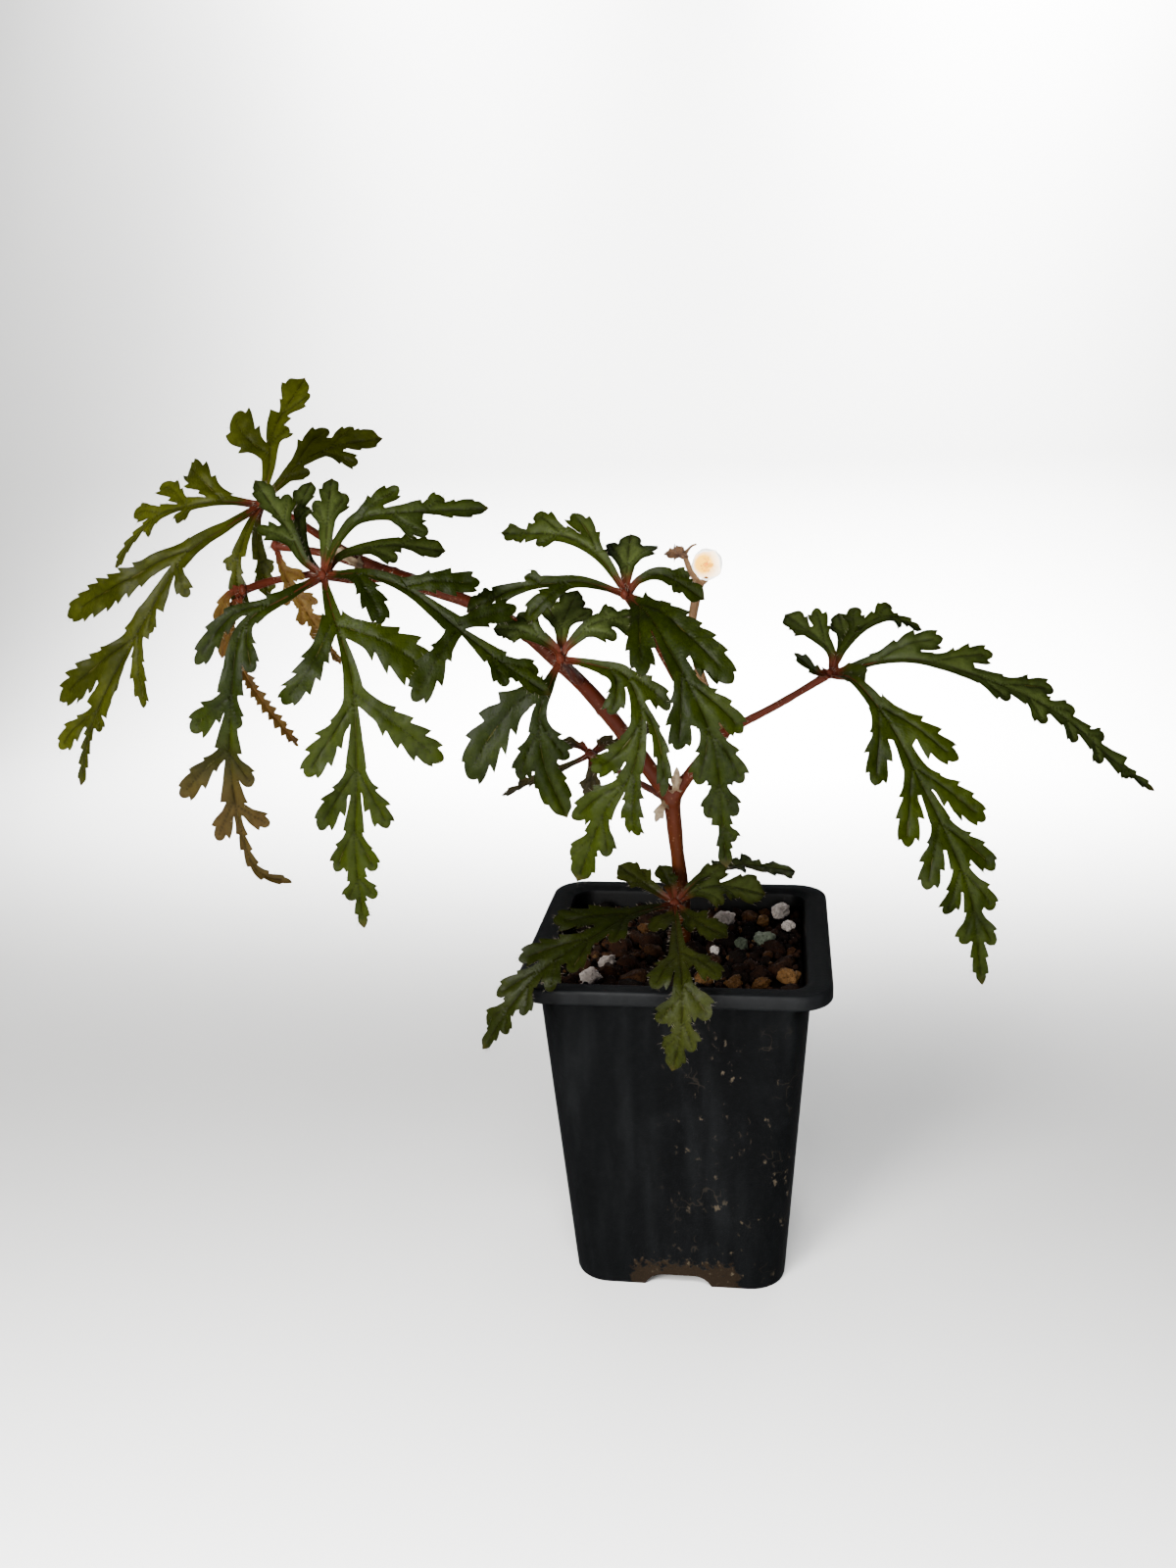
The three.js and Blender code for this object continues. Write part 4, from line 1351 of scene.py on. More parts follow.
    def add_hairs(self, hairs: Draft, flat: np.ndarray, border: list[tuple[int, int]],
                  upper: np.ndarray) -> None:
        """Adds short hairs on the margin.

        Args:
            hairs: the draft of the leaf's hairs.
            flat: the blade's flat vertices.
            border: the edges of its margin.
            upper: the height of each vertex.
        """
        picked = [edge for edge in sorted(border) if self.draw.random() < self.hair_share]
        if not picked:
            return
        ends = np.array(picked)
        start, ahead = flat[ends[:, 0]], unit(flat[ends[:, 1]] - flat[ends[:, 0]])
        outward = np.stack([ahead[:, 1], -ahead[:, 0]], axis=1) + np.array([[0.5, 0.0]])
        height = upper[ends[:, 0]]
        roots = self.place(start, height)
        ways = self.place(start + outward, height + self.draw.uniform(0.1, 0.5)) - roots
        lengths = np.array([self.draw.uniform(0.5, 1.25) for _ in picked])
        hairs.add(*spikes(roots, ways, lengths))


@dataclass
class Leaf:
    """A compound leaf: its stalk, the hub and the leaflets that spread from it."""

    name: str
    hub: Point
    petiole: tuple[Point, ...]
    facing: Point
    leaflets: tuple[Leaflet, ...]
    finish: LeafFinish = GREEN
    slot: str = "leaf"
    stalk_radius: float = 0.95
    hair_share: float = 0.14
    tuft_count: int = 26
    tuft_radius: float = 0.06
    edge_angle: float = 58.0

    def build(self, seed: int) -> bpy.types.Object:
        """Builds the leaf and its hairs.

        Args:
            seed: picks teeth, tones and hairs.

        Returns:
            The leaf.
        """
        draft, hairs = Draft(), Draft()
        draw = random.Random(seed)
        radii = [self.stalk_radius * k for k in (1.35, 1.0, 0.95, 0.9, 1.05)]
        vertices, faces, share = tube((*self.petiole, self.hub), radii, 12, 0.9, 0.04, seed)
        draft.add(vertices, faces, stalk=1.0, tone=0.3)
        sphere, sides = ball(3)
        lumpy = 1.25 + 0.16 * np.sin(3 * sphere[:, :1] + 2 * sphere[:, 1:2] + seed)
        draft.add(np.array(self.hub, float) + sphere * lumpy, sides, stalk=1.0, tone=0.5)
        self.bristle(hairs, vertices, share, draw)
        for i, leaflet in enumerate(self.leaflets):
            Blade(leaflet, self.hub, self.facing, seed * 10 + i).build(draft, hairs)
        hairs.make(f"{self.name}_hairs", HAIR, self.slot)
        leaf = draft.make(f"{self.name}_blades", self.finish, self.slot, [self.name])
        leaf.data.set_sharp_from_angle(angle=math.radians(self.edge_angle))
        return leaf

    def bristle(self, hairs: Draft, vertices: np.ndarray, share: np.ndarray, draw: random.Random) -> None:
        """Adds hairs on the stalk and a tuft of bristles at the hub.

        Args:
            hairs: the draft of the leaf's hairs.
            vertices: the stalk's vertices.
            share: each vertex's share of the stalk's length.
            draw: seeded chance.
        """
        route = Route([*self.petiole, self.hub])
        picks = [i for i in range(len(vertices) - 2) if draw.random() < self.hair_share and share[i] > 0.08]
        if picks:
            roots = vertices[picks]
            ways = roots - route.at(share[picks] * route.length)
            hairs.add(*spikes(roots, ways, np.array([draw.uniform(0.6, 1.5) for _ in picks])))
        tuft = unit(np.array([[draw.gauss(0, 1) for _ in range(3)] for _ in range(self.tuft_count)]))
        lengths = np.array([draw.uniform(1.0, 2.1) for _ in tuft])
        hairs.add(*spikes(np.array(self.hub, float) + tuft, tuft, lengths, self.tuft_radius))


# The sheen share given to some leaflets below mixes their skin toward a paler colour: a painted sheen for
# leaflets that face up.
LEAVES = (
    Leaf("leaf_tip_upper", (-93, -4, 183), ((-67, -17, 171.5), (-77, -11, 176), (-87, -6, 181)),
         (0.1, -0.8, 0.6), finish=OLIVE, leaflets=(
             Leaflet(((1.5, 3, 7), (1.5, 9, 16), (7, 17, 27)), left=((0.36, 13, 60, 6),),
                     right=((0.44, 6, 40, 4), (0.68, 8, 30, 3.2)), tip=3.0, wing=1.3),
             Leaflet(((4, 2, 4), (9, 6, 9), (16, 11, 12), (25, 15, 13)), left=((0.35, 12, 30), (0.64, 7)),
                     right=((0.24, 6), (0.55, 10, 45))),
             Leaflet(((-9, -4, 1), (-16, -4, 0), (-24, -2, -2), (-32, 0, -8), (-37, 1, -14)),
                     left=((0.36, 5, 60), (0.6, 5)), right=((0.19, 15, 55, 7), (0.38, 11, 50), (0.56, 9)),
                     tip=1),
             Leaflet(((-5, -7, -4), (-14, -12, -10), (-22, -16, -22), (-33, -17, -38), (-40, -16, -50),
                      (-44, -15, -62)),
                     left=((0.29, 8, 55, 3.6), (0.42, 6, 30), (0.5, 17, 40, 4.8), (0.76, 5, 40)),
                     right=((0.24, 37, 36, 6.8), (0.52, 26, 27, 6.4), (0.76, 15, 32, 4)), tip=1, wing=1.6),
             Leaflet(((-2, -5, -6), (-4, -8, -14), (-3, -9, -24)), right=((0.5, 4),), tip=1.9),
             Leaflet(((-2, 1, -8), (0, -1, -21)), left=((0.59, 4),)),
         )),
    Leaf("leaf_tip_front", (-71, -30, 170), ((-61, -17, 168), (-66, -23, 168)), (0.1, -0.8, 0.55), (
        Leaflet(((-4, 1, 3), (-8, 4, 9), (-17, 11, 19)), left=((0.34, 9, 40),), right=((0.53, 7),), tip=2.2,
                pale=0.5),
        Leaflet(((-5, 5, 4), (-8, 11, 12), (-7, 18, 18)), right=((0.6, 4),), tip=2.2, pale=0.7),
        Leaflet(((1, 0, 5), (1, 4, 13), (0, 11, 19)), left=((0.43, 7, 30),), right=((0.47, 8, 30),), tip=2,
                pale=0.6),
        Leaflet(((5, -4, 7), (11, -6, 12), (21, -5, 13), (36, -1, 13)), left=((0.4, 10), (0.7, 5)),
                right=((0.55, 9, 45),), tip=2.2, pale=0.2),
        Leaflet(((4, 4, 4), (13, 9, 5), (23, 14, 3)), left=((0.66, 4),), right=((0.41, 7),), pale=0.4),
        Leaflet(((11, -7, 1), (21, -10, -2), (31, -13, -9), (39.8, -13, -16.2), (48.9, -12, -22.9)),
                left=((0.38, 15, 47), (0.61, 13, 62), (0.8, 8, 26)),
                right=((0.19, 15), (0.62, 17, 86), (0.76, 7, 36)), tip=1.8),
        Leaflet(((4, -8, -6), (9, -14, -19), (9, -16, -38), (7, -15, -55), (7, -13, -73)),
                left=((0.18, 21, 55, 7.4), (0.36, 22, 56), (0.55, 14, 34), (0.72, 10, 28), (0.85, 6)),
                right=((0.16, 23, 44), (0.38, 19, 37), (0.55, 16, 32), (0.72, 10, 30), (0.86, 5, 36)),
                tip=1.3, wither=0.965),
        Leaflet(((-5, -6, -3), (-14, -11, -9), (-17, -14, -24), (-19, -13, -41), (-17, -11, -60),
                 (-10, -8, -65)),
                left=((0.22, 12, 24, 4), (0.42, 7, 20, 3.4), (0.57, 8.5, 35, 4), (0.71, 8.5, 50, 3.8)),
                right=((0.16, 18, 30, 3.8), (0.42, 12, 48, 5), (0.56, 15, 52, 4.2), (0.7, 9.5, 38, 3.8)),
                tip=1, wing=1.4, wither=0.5),
    )),
    Leaf("leaf_middle_front", (-21, -34, 153), ((-22, -4, 142), (-22, -18, 148)), (0.05, -0.85, 0.5), (
        Leaflet(((-2, -1, 3), (-8, -1, 6), (-14, 1, 6)), left=((0.56, 4),), right=((0.35, 7, 35),), pale=0.4),
        Leaflet(((0, 2, 4), (0, 6, 7), (2, 13, 12)), left=((0.38, 8, 45),), right=((0.36, 9, 35),), pale=0.9),
        Leaflet(((2, 0, 3), (7, 1, 7), (15, 5, 8)), left=((0.6, 4),), right=((0.36, 8), (0.66, 7)), tip=1.6,
                pale=0.6),
        Leaflet(((8, -3, -1), (14, -5, -3), (17, -8, -11), (15, -10, -21), (9, -10, -30), (3, -8, -45)),
                left=((0.24, 10), (0.34, 17, 30), (0.56, 14, 40), (0.74, 9, 32)),
                right=((0.17, 13, 32), (0.39, 18, 28), (0.61, 13, 28), (0.82, 7, 30)), wither=0.965),
        Leaflet(((-2, -4, -5), (-4, -6, -11), (-3, -7, -21), (1, -6, -32)), left=((0.38, 11, 32),),
                right=((0.2, 22, 50, 8), (0.46, 10)), tip=3.2),
    )),
    Leaf("leaf_middle_upper", (-8, -28, 165),
         ((8.5, 0.5, 126.5), (6, -7, 133), (1, -14, 144), (-4, -21, 156)), (-0.05, -0.85, 0.5), (
             Leaflet(((-5, 1, 7), (-11, 3, 11), (-17, 5, 12), (-27, 8, 12)), left=((0.6, 5), (0.82, 3)),
                     right=((0.3, 10, 35), (0.56, 9, 35)), tip=1.8, pale=0.25),
             Leaflet(((0, 1, 3), (0, 5, 7), (0, 11, 11)), left=((0.36, 9, 35),), right=((0.4, 8, 50),),
                     tip=2.6, pale=0.9),
             Leaflet(((3, -1, 3), (8, -2, 4), (16, -2, -1)), left=((0.56, 4),), right=((0.62, 3),), tip=2),
             Leaflet(((-8, -3, 3), (-14, -4, 3), (-22, -4, 2), (-33, -2, -3)), left=((0.35, 12),),
                     right=((0.5, 4), (0.8, 4)), tip=2.8),
             Leaflet(((6, -12, -3), (10, -18, -8), (15, -23, -16), (19, -25, -26), (20, -25, -38),
                      (21, -24, -50)),
                     left=((0.09, 29, 19), (0.44, 14, 29), (0.6, 11, 28), (0.75, 7, 30), (0.87, 4)),
                     right=((0.11, 19, 25), (0.41, 16, 30), (0.58, 12, 24), (0.75, 7, 28)), tip=1.4,
                     wither=0.965),
         )),
    Leaf("leaf_right", (34, -6, 144), ((10, 0, 129), (22, -3, 136)), (0, -0.8, 0.6), (
        Leaflet(((0, 2, 4), (-3, 6, 7), (-10, 13, 11)), left=((0.6, 4),), right=((0.36, 10, 35),), tip=2.6,
                pale=0.6),
        Leaflet(((2, 2, 4), (3, 7, 7), (2, 14, 11)), left=((0.6, 4),), right=((0.55, 5),), tip=2.4, pale=0.6),
        Leaflet(((3, 3, 5), (8, 10, 9), (14, 15, 10), (21, 19, 6)), left=((0.35, 8, 45), (0.6, 5)),
                right=((0.7, 4),), tip=1, pale=0.5),
        Leaflet(((-3, -3, 1), (-8, -2, 5)), tip=1.2),
        Leaflet(((4, -4, 1), (7, -7, -1)), tip=2.4),
        Leaflet(((13, -5, 4), (23, -6, 3), (38, -3, -3), (50, 0, -10), (60, 3, -19), (71, 6, -28)),
                left=((0.12, 15, 27), (0.27, 14, 30), (0.46, 13, 25), (0.6, 7, 25), (0.74, 5)),
                right=((0.4, 8, 26), (0.54, 7), (0.66, 6), (0.77, 5), (0.88, 3)), tip=0.9, pale=0.4),
        Leaflet(((5, -9, 0), (12, -15, -8), (18, -19, -19), (24, -22, -31), (29, -23, -44), (32, -22, -63)),
                left=((0.21, 20, 30), (0.39, 19, 32), (0.55, 15, 31), (0.68, 11, 27), (0.79, 9, 25)),
                right=((0.22, 17, 35), (0.39, 17, 35), (0.54, 15, 38), (0.67, 11, 38), (0.79, 8, 30)),
                tip=1.6),
    )),
    Leaf("leaf_base", (-1, -7, 90), ((0, 4.5, 85), (0, -1, 88)), (0, -0.6, 0.8), finish=DEEP, leaflets=(
        Leaflet(((-8, -12, 2), (-15, -22, 1), (-25, -31, -3), (-32, -35, -10), (-39, -35, -21)),
                left=((0.28, 9, 30), (0.45, 10, 32), (0.59, 8, 45), (0.71, 7, 40), (0.83, 5, 40)),
                right=((0.24, 19, 32, 6), (0.45, 16, 24, 5.4), (0.64, 12, 24, 4.6), (0.81, 8, 28)), tip=1.6),
        Leaflet(((-6, 3, 3), (-14, 9, 6)), left=((0.5, 4),), right=((0.45, 5),), tip=3),
        Leaflet(((-1, 3, 3), (-4, 7, 7)), right=((0.45, 3),), tip=2.2),
        Leaflet(((6, 2, 3), (12, 4, 3), (21, 7, 0)), left=((0.26, 9, 42, 4.6),),
                right=((0.24, 8, 42, 4.4), (0.5, 5, 42)), tip=3.6, pale=0.4),
        Leaflet(((6, 4, 5), (14, 16, 4), (28, 29, -2)), left=((0.36, 4), (0.58, 5)),
                right=((0.5, 4), (0.74, 4)), pale=0.7),
        Leaflet(((5, -7, -1), (13, -15, -2)), left=((0.4, 4),), right=((0.36, 5, 45),), tip=2.7),
        Leaflet(((2, -17, -2), (4, -32, -5), (4, -36, -14), (2, -36, -24)),
                left=((0.43, 12.5, 45, 5.2), (0.63, 9, 45, 4.6), (0.78, 6.5, 38, 4)),
                right=((0.1, 9, 45, 5), (0.44, 12.5, 34, 5.2), (0.68, 8, 46, 4.4), (0.83, 5.5, 38)), tip=2.2),
    )),
    Leaf("leaf_back", (-28, 50, 111), ((-2, 3, 112), (-14, 28, 110)), (0, -0.5, 0.85), finish=SHADED,
         leaflets=(
             Leaflet(((-3, 1, 2), (-8, 3, 3)), left=((0.4, 4),)),
             Leaflet(((3, 2, 1), (6, 5, 4)), left=((0.4, 4),)),
             Leaflet(((-6, 2, -4), (-16, 5, -9), (-26, 6, -14)), left=((0.3, 8),),
                     right=((0.42, 6), (0.7, 4)), tip=1.2),
             Leaflet(((1, -3, -4), (0, -4, -12)), left=((0.48, 4),), right=((0.55, 4),)),
             Leaflet(((8, 0, 3), (19, -2, 8)), left=((0.45, 5),), right=((0.5, 6),)),
         )),
    Leaf("young_leaf_bronze", (-89, -8, 174), ((-65, -16, 170), (-70, -12, 170.5), (-78, -10, 172.5)),
         (0.1, -0.9, 0.4), finish=BRONZE, slot="young_leaf", leaflets=(
             Leaflet(((2, -2, -5), (6, -5, -11), (15, -6, -26)),
                     left=((0.18, 6, 40, 2.6), (0.4, 5.5, 40, 2.4), (0.58, 4.5, 40, 2), (0.74, 3, 40, 1.6)),
                     right=((0.3, 5.5, 40, 2.6), (0.5, 4.5, 40, 2.2), (0.66, 3.5, 40, 2),
                            (0.82, 2.4, 40, 1.5)), tip=1, slim=0.7, comb=0.3),
         )),
    Leaf("young_leaf_folded", (-95, -14, 165),
         ((-62, -16, 168.5), (-68, -9, 167), (-79, -7, 167.5), (-89, -9, 166.5)),
         (0.1, -0.9, 0.4), finish=BRONZE, slot="young_leaf", leaflets=(
             Leaflet(((-2, -3, -5), (-2, -4, -12), (3, -6, -22), (12, -7, -34)),
                     tip=1.3, slim=0.65, comb=1.1),
             Leaflet(((-3, -2, -1), (-5, -5, -7)), tip=1.4),
             Leaflet(((-3, -1, -5), (-6, -2, -15)), left=((0.5, 3),), tip=1.2),
         )),
)


# Stem and bloom

@dataclass
class Stem:
    """The woody stem: a leaning trunk that forks, with swollen nodes and ring scars."""

    fork: Point = (-2, 3, 112)
    left_node: Point = (-60, -16, 168)
    right_node: Point = (10, 0, 129)
    trunk: tuple[Point, ...] = ((0, 5, 58), (0, 5, 77), (0, 4.5, 88), (-1, 4, 99))
    left: tuple[Point, ...] = ((-12, 0, 128), (-20, -3, 139.5), (-27, -6, 147.5), (-36, -9, 156.5),
                               (-46, -12, 162))
    left_end: Point = (-67, -17, 171.5)
    right: tuple[Point, ...] = ((1.5, 2, 117.5), (6, 1, 123.5))
    scars: tuple[float, ...] = (0.30, 0.52, 0.76)
    scar_half: float = 1.6
    sides: int = 20
    grain: float = 0.34

    def build(self) -> bpy.types.Object:
        """Returns: the stem, its branches fused at the fork."""
        draft = Draft()
        ways = (
            ((*self.trunk, self.fork), (2.0, 2.0, 1.9, 1.7, 2.0)),
            ((self.fork, *self.left, self.left_node, self.left_end),
             (1.9, 2.0, 1.9, 1.8, 1.7, 1.6, 1.5, 1.9, 1.3)),
            ((self.fork, *self.right, self.right_node), (1.8, 1.5, 1.4, 1.7)),
        )
        for seed, (points, radii) in enumerate(ways):
            draft.add_tube(points, radii, self.sides, 0.9, 0.03, seed)
        for k, share in enumerate(self.scars):
            for points, radii in ways[:2]:
                radius = np.interp(share, np.linspace(0, 1, len(radii)), radii)
                self.add_scar(draft, Route(points), share + 0.05 * k, radius)
        for centre, radius in ((self.fork, 2.35), (self.left_node, 2.0), (self.right_node, 1.9)):
            draft.add_ball(centre, radius)
        stem = draft.make("stem_bark", BARK, "stem", ["stem"])
        applied(stem, "REMESH", mode="VOXEL", voxel_size=self.grain * MM, use_smooth_shade=True)
        applied(stem, "SMOOTH", iterations=4, factor=0.5)
        return dress(stem, BARK)

    def add_scar(self, draft: Draft, route: Route, share: float, radius: float) -> None:
        """Adds the ring that a fallen leaf left.

        Args:
            draft: the stem's draft.
            route: the way of the branch.
            share: how far along it the ring lies.
            radius: the branch's radius there.
        """
        swell = (0.9, 1.06, 1.12, 1.06, 0.9)
        reach = np.linspace(-self.scar_half, self.scar_half, len(swell))
        spine = route.at(share * route.length + reach)
        draft.add_tube(spine, [radius * k for k in swell], self.sides, 0.5)


@dataclass(frozen=True)
class Scale:
    """A small papery scale at a node."""

    name: str
    hub: Point
    along: tuple[Point, ...]

    def build(self, seed: int) -> bpy.types.Object:
        """Builds the scale.

        Args:
            seed: picks its edge.

        Returns:
            The scale.
        """
        draft, hairs = Draft(), Draft()
        blade = Blade(Leaflet(self.along, tip=1.1, thick=0.25), self.hub, (0.1, -0.9, 0.3), seed)
        blade.build(draft, hairs)
        return draft.make(f"{self.name}_paper", PAPERY, "scale", [self.name])


SCALES = (
    Scale("stipule_fork_upper", (-1, 1.5, 114), ((0.3, -1.6, 3), (0.6, -2, 7))),
    Scale("stipule_fork_lower", (-3, 1.5, 112), ((-1.2, -1.4, -1), (-2.6, -2, -4.4))),
    Scale("bract_branch_tip", (-66, -18.5, 170.5), ((-2, -2, 1.6), (-6.4, -2, 4.6))),
)


@dataclass
class Bloom:
    """One small white flower on a long bare stalk, with a crumpled bract beside it."""

    foot: Point = (10, 0, 129)
    bend: tuple[Point, ...] = ((7, -1, 137.5), (4.7, -1, 145), (3.5, -1, 154))
    top: Point = (5, 0, 163)
    centre: Point = (7, -1, 167.5)
    radius: float = 3.5
    bract: Point = (2, -1, 169.6)

    def build(self) -> None:
        """Builds stalk, tepals, stamens and bract."""
        self.build_stalk()
        self.build_tepals()
        self.build_stamens()
        self.build_bract()

    def build_stalk(self) -> bpy.types.Object:
        """Returns: the peduncle with its two twigs."""
        draft = Draft()
        x, y, z = self.centre
        ways = (
            ((self.foot, *self.bend, self.top), (1.3, 1.15, 1.05, 1.0, 1.1)),
            ((self.top, (3, 0, 166.5), self.bract), (0.9, 0.55)),
            ((self.top, (6.2, 0.2, 163.6), (x - 0.2, y + 0.6, z - 3.2)), (0.8, 0.6)),
        )
        for seed, (points, radii) in enumerate(ways):
            draft.add_tube(points, radii, 14, 0.8, 0.03, seed)
        draft.add_ball(self.top, 1.25)
        return draft.make("peduncle_stalk", TAN_STALK, "peduncle", ["peduncle"])

    def build_tepals(self) -> bpy.types.Object:
        """Returns: four rounded tepals that cup the stamens and open towards the viewer."""
        draft = Draft()
        x, y, z = self.centre
        across, rise = 22, 18
        for k, turn in enumerate((0.2, 1.75, 3.35, 4.9)):
            wide = 1.02 if k % 2 else 1.12
            sheets = []
            for depth in (0.0, 0.16):
                u, v = np.meshgrid(np.linspace(-1, 1, across), np.linspace(0, 1, rise))
                crown = 1 - 0.16 * np.abs(u) ** 2.5
                from_back = 0.05 + 2.02 * v * crown
                swing = turn + wide * u * np.sqrt(np.clip(1 - (v * 0.86) ** 3, 0.05, 1))
                size = self.radius * (0.96 + 0.025 * (k % 2) + 0.03 * np.sin(5 * u + k) * v) - depth
                ring = np.sin(from_back) * size
                sheets.append(np.stack([
                    x + ring * np.cos(swing), y + 0.9 * size * np.cos(from_back), z + ring * np.sin(swing),
                ], axis=-1).reshape(-1, 3))
            count = across * rise
            grid = [(r * across + c, r * across + c + 1, (r + 1) * across + c + 1, (r + 1) * across + c)
                    for r in range(rise - 1) for c in range(across - 1)]
            rim = ([(0, c) for c in range(across)] + [(r, across - 1) for r in range(1, rise)]
                   + [(rise - 1, c) for c in range(across - 2, -1, -1)]
                   + [(r, 0) for r in range(rise - 2, 0, -1)])
            faces = [face[::-1] for face in grid] + [tuple(i + count for i in face) for face in grid]
            faces += [(a, b, b + count, a + count) for a, b in edges([r * across + c for r, c in rim])]
            points = np.vstack(sheets)
            # painted glow: a warm patch round the heart of the cup
            glow_share = np.exp(-(((points - np.array([x - 1.1, y + 2.6, z - 0.2])) / 2.5) ** 2).sum(axis=1))
            draft.add(points, faces, heart=np.minimum(1.0, 1.7 * glow_share))
        return draft.make("tepals_white", TEPAL, "petal", ["tepals"])

    def build_stamens(self) -> bpy.types.Object:
        """Returns: a knot of stamens on a short foot."""
        draft = Draft()
        x, y, z = self.centre
        draw = random.Random(5)
        foot = np.array([x, y + 2.2, z])
        for _ in range(22):
            turn, lean = draw.uniform(0, 2 * math.pi), math.sqrt(draw.random()) * 1.5
            tip = np.array([x - 0.2 + lean * math.cos(turn), y - 0.9 + 0.3 * lean, z + lean * math.sin(turn)])
            draft.add_tube((foot, (foot + tip) / 2 + (0, -0.2, 0), tip), (0.14, 0.1), 5, 1.0)
            draft.add_ball(tip, (0.26, 0.42, 0.26), 2)
        return draft.make("stamens_yellow", POLLEN, "stamen", ["stamens"])

    def build_bract(self) -> bpy.types.Object:
        """Returns: the crumpled bract, with a thin curved thread."""
        draft, hairs = Draft(), Draft()
        facing = (0.2, -0.9, 0.5)
        for seed, leaflet in enumerate((
                Leaflet(((-2, 0, 0.4), (-4.5, -0.5, 0.4)), left=((0.5, 1.6),), right=((0.4, 1.4),),
                        thick=0.3),
                Leaflet(((-1, 0, 1), (-1.6, -0.4, 2.2)), thick=0.3))):
            Blade(leaflet, self.bract, facing, 71 + seed).build(draft, hairs)
        sphere, sides = ball(3)
        lumpy = 1 + 0.22 * np.sin(4 * sphere[:, :1] + 3 * sphere[:, 2:3])
        draft.add(np.array(self.bract, float) + sphere * lumpy * (1.0, 0.85, 0.85), sides)
        draft.add_tube((self.bract, (3.4, -1, 171.4), (4.6, -1, 171.9)), (0.5, 0.3, 0.22), 8, 0.5)
        return draft.make("dried_bract_crumpled", CRUMPLED, "petal", ["dried_bract"])


# Pot and grit

def rounded_square(width: float, z: float, corner: float, arc: int = 9) -> np.ndarray:
    """Draws a level square with round corners.

    Args:
        width: across its flats.
        z: its height.
        corner: radius of its corners.
        arc: steps round each corner.

    Returns:
        Its points, counter-clockwise from above.
    """
    flat = width / 2 - corner
    ring = []
    for quarter, (sx, sy) in enumerate(((1, 1), (-1, 1), (-1, -1), (1, -1))):
        for k in range(arc + 1):
            turn = (quarter + k / arc) * math.pi / 2
            ring.append((sx * flat + corner * math.cos(turn), sy * flat + corner * math.sin(turn), z))
    return np.array(ring)


def loft(rings: Sequence[np.ndarray]) -> tuple[np.ndarray, list[Face]]:
    """Makes a closed body.

    Args:
        rings: the outlines that it runs through, of equal count.

    Returns:
        Its vertices and faces.
    """
    count = len(rings[0])
    faces = band_faces(len(rings), count)
    faces.append(tuple(range(count))[::-1])
    faces.append(tuple(range((len(rings) - 1) * count, len(rings) * count)))
    return np.vstack(rings), faces


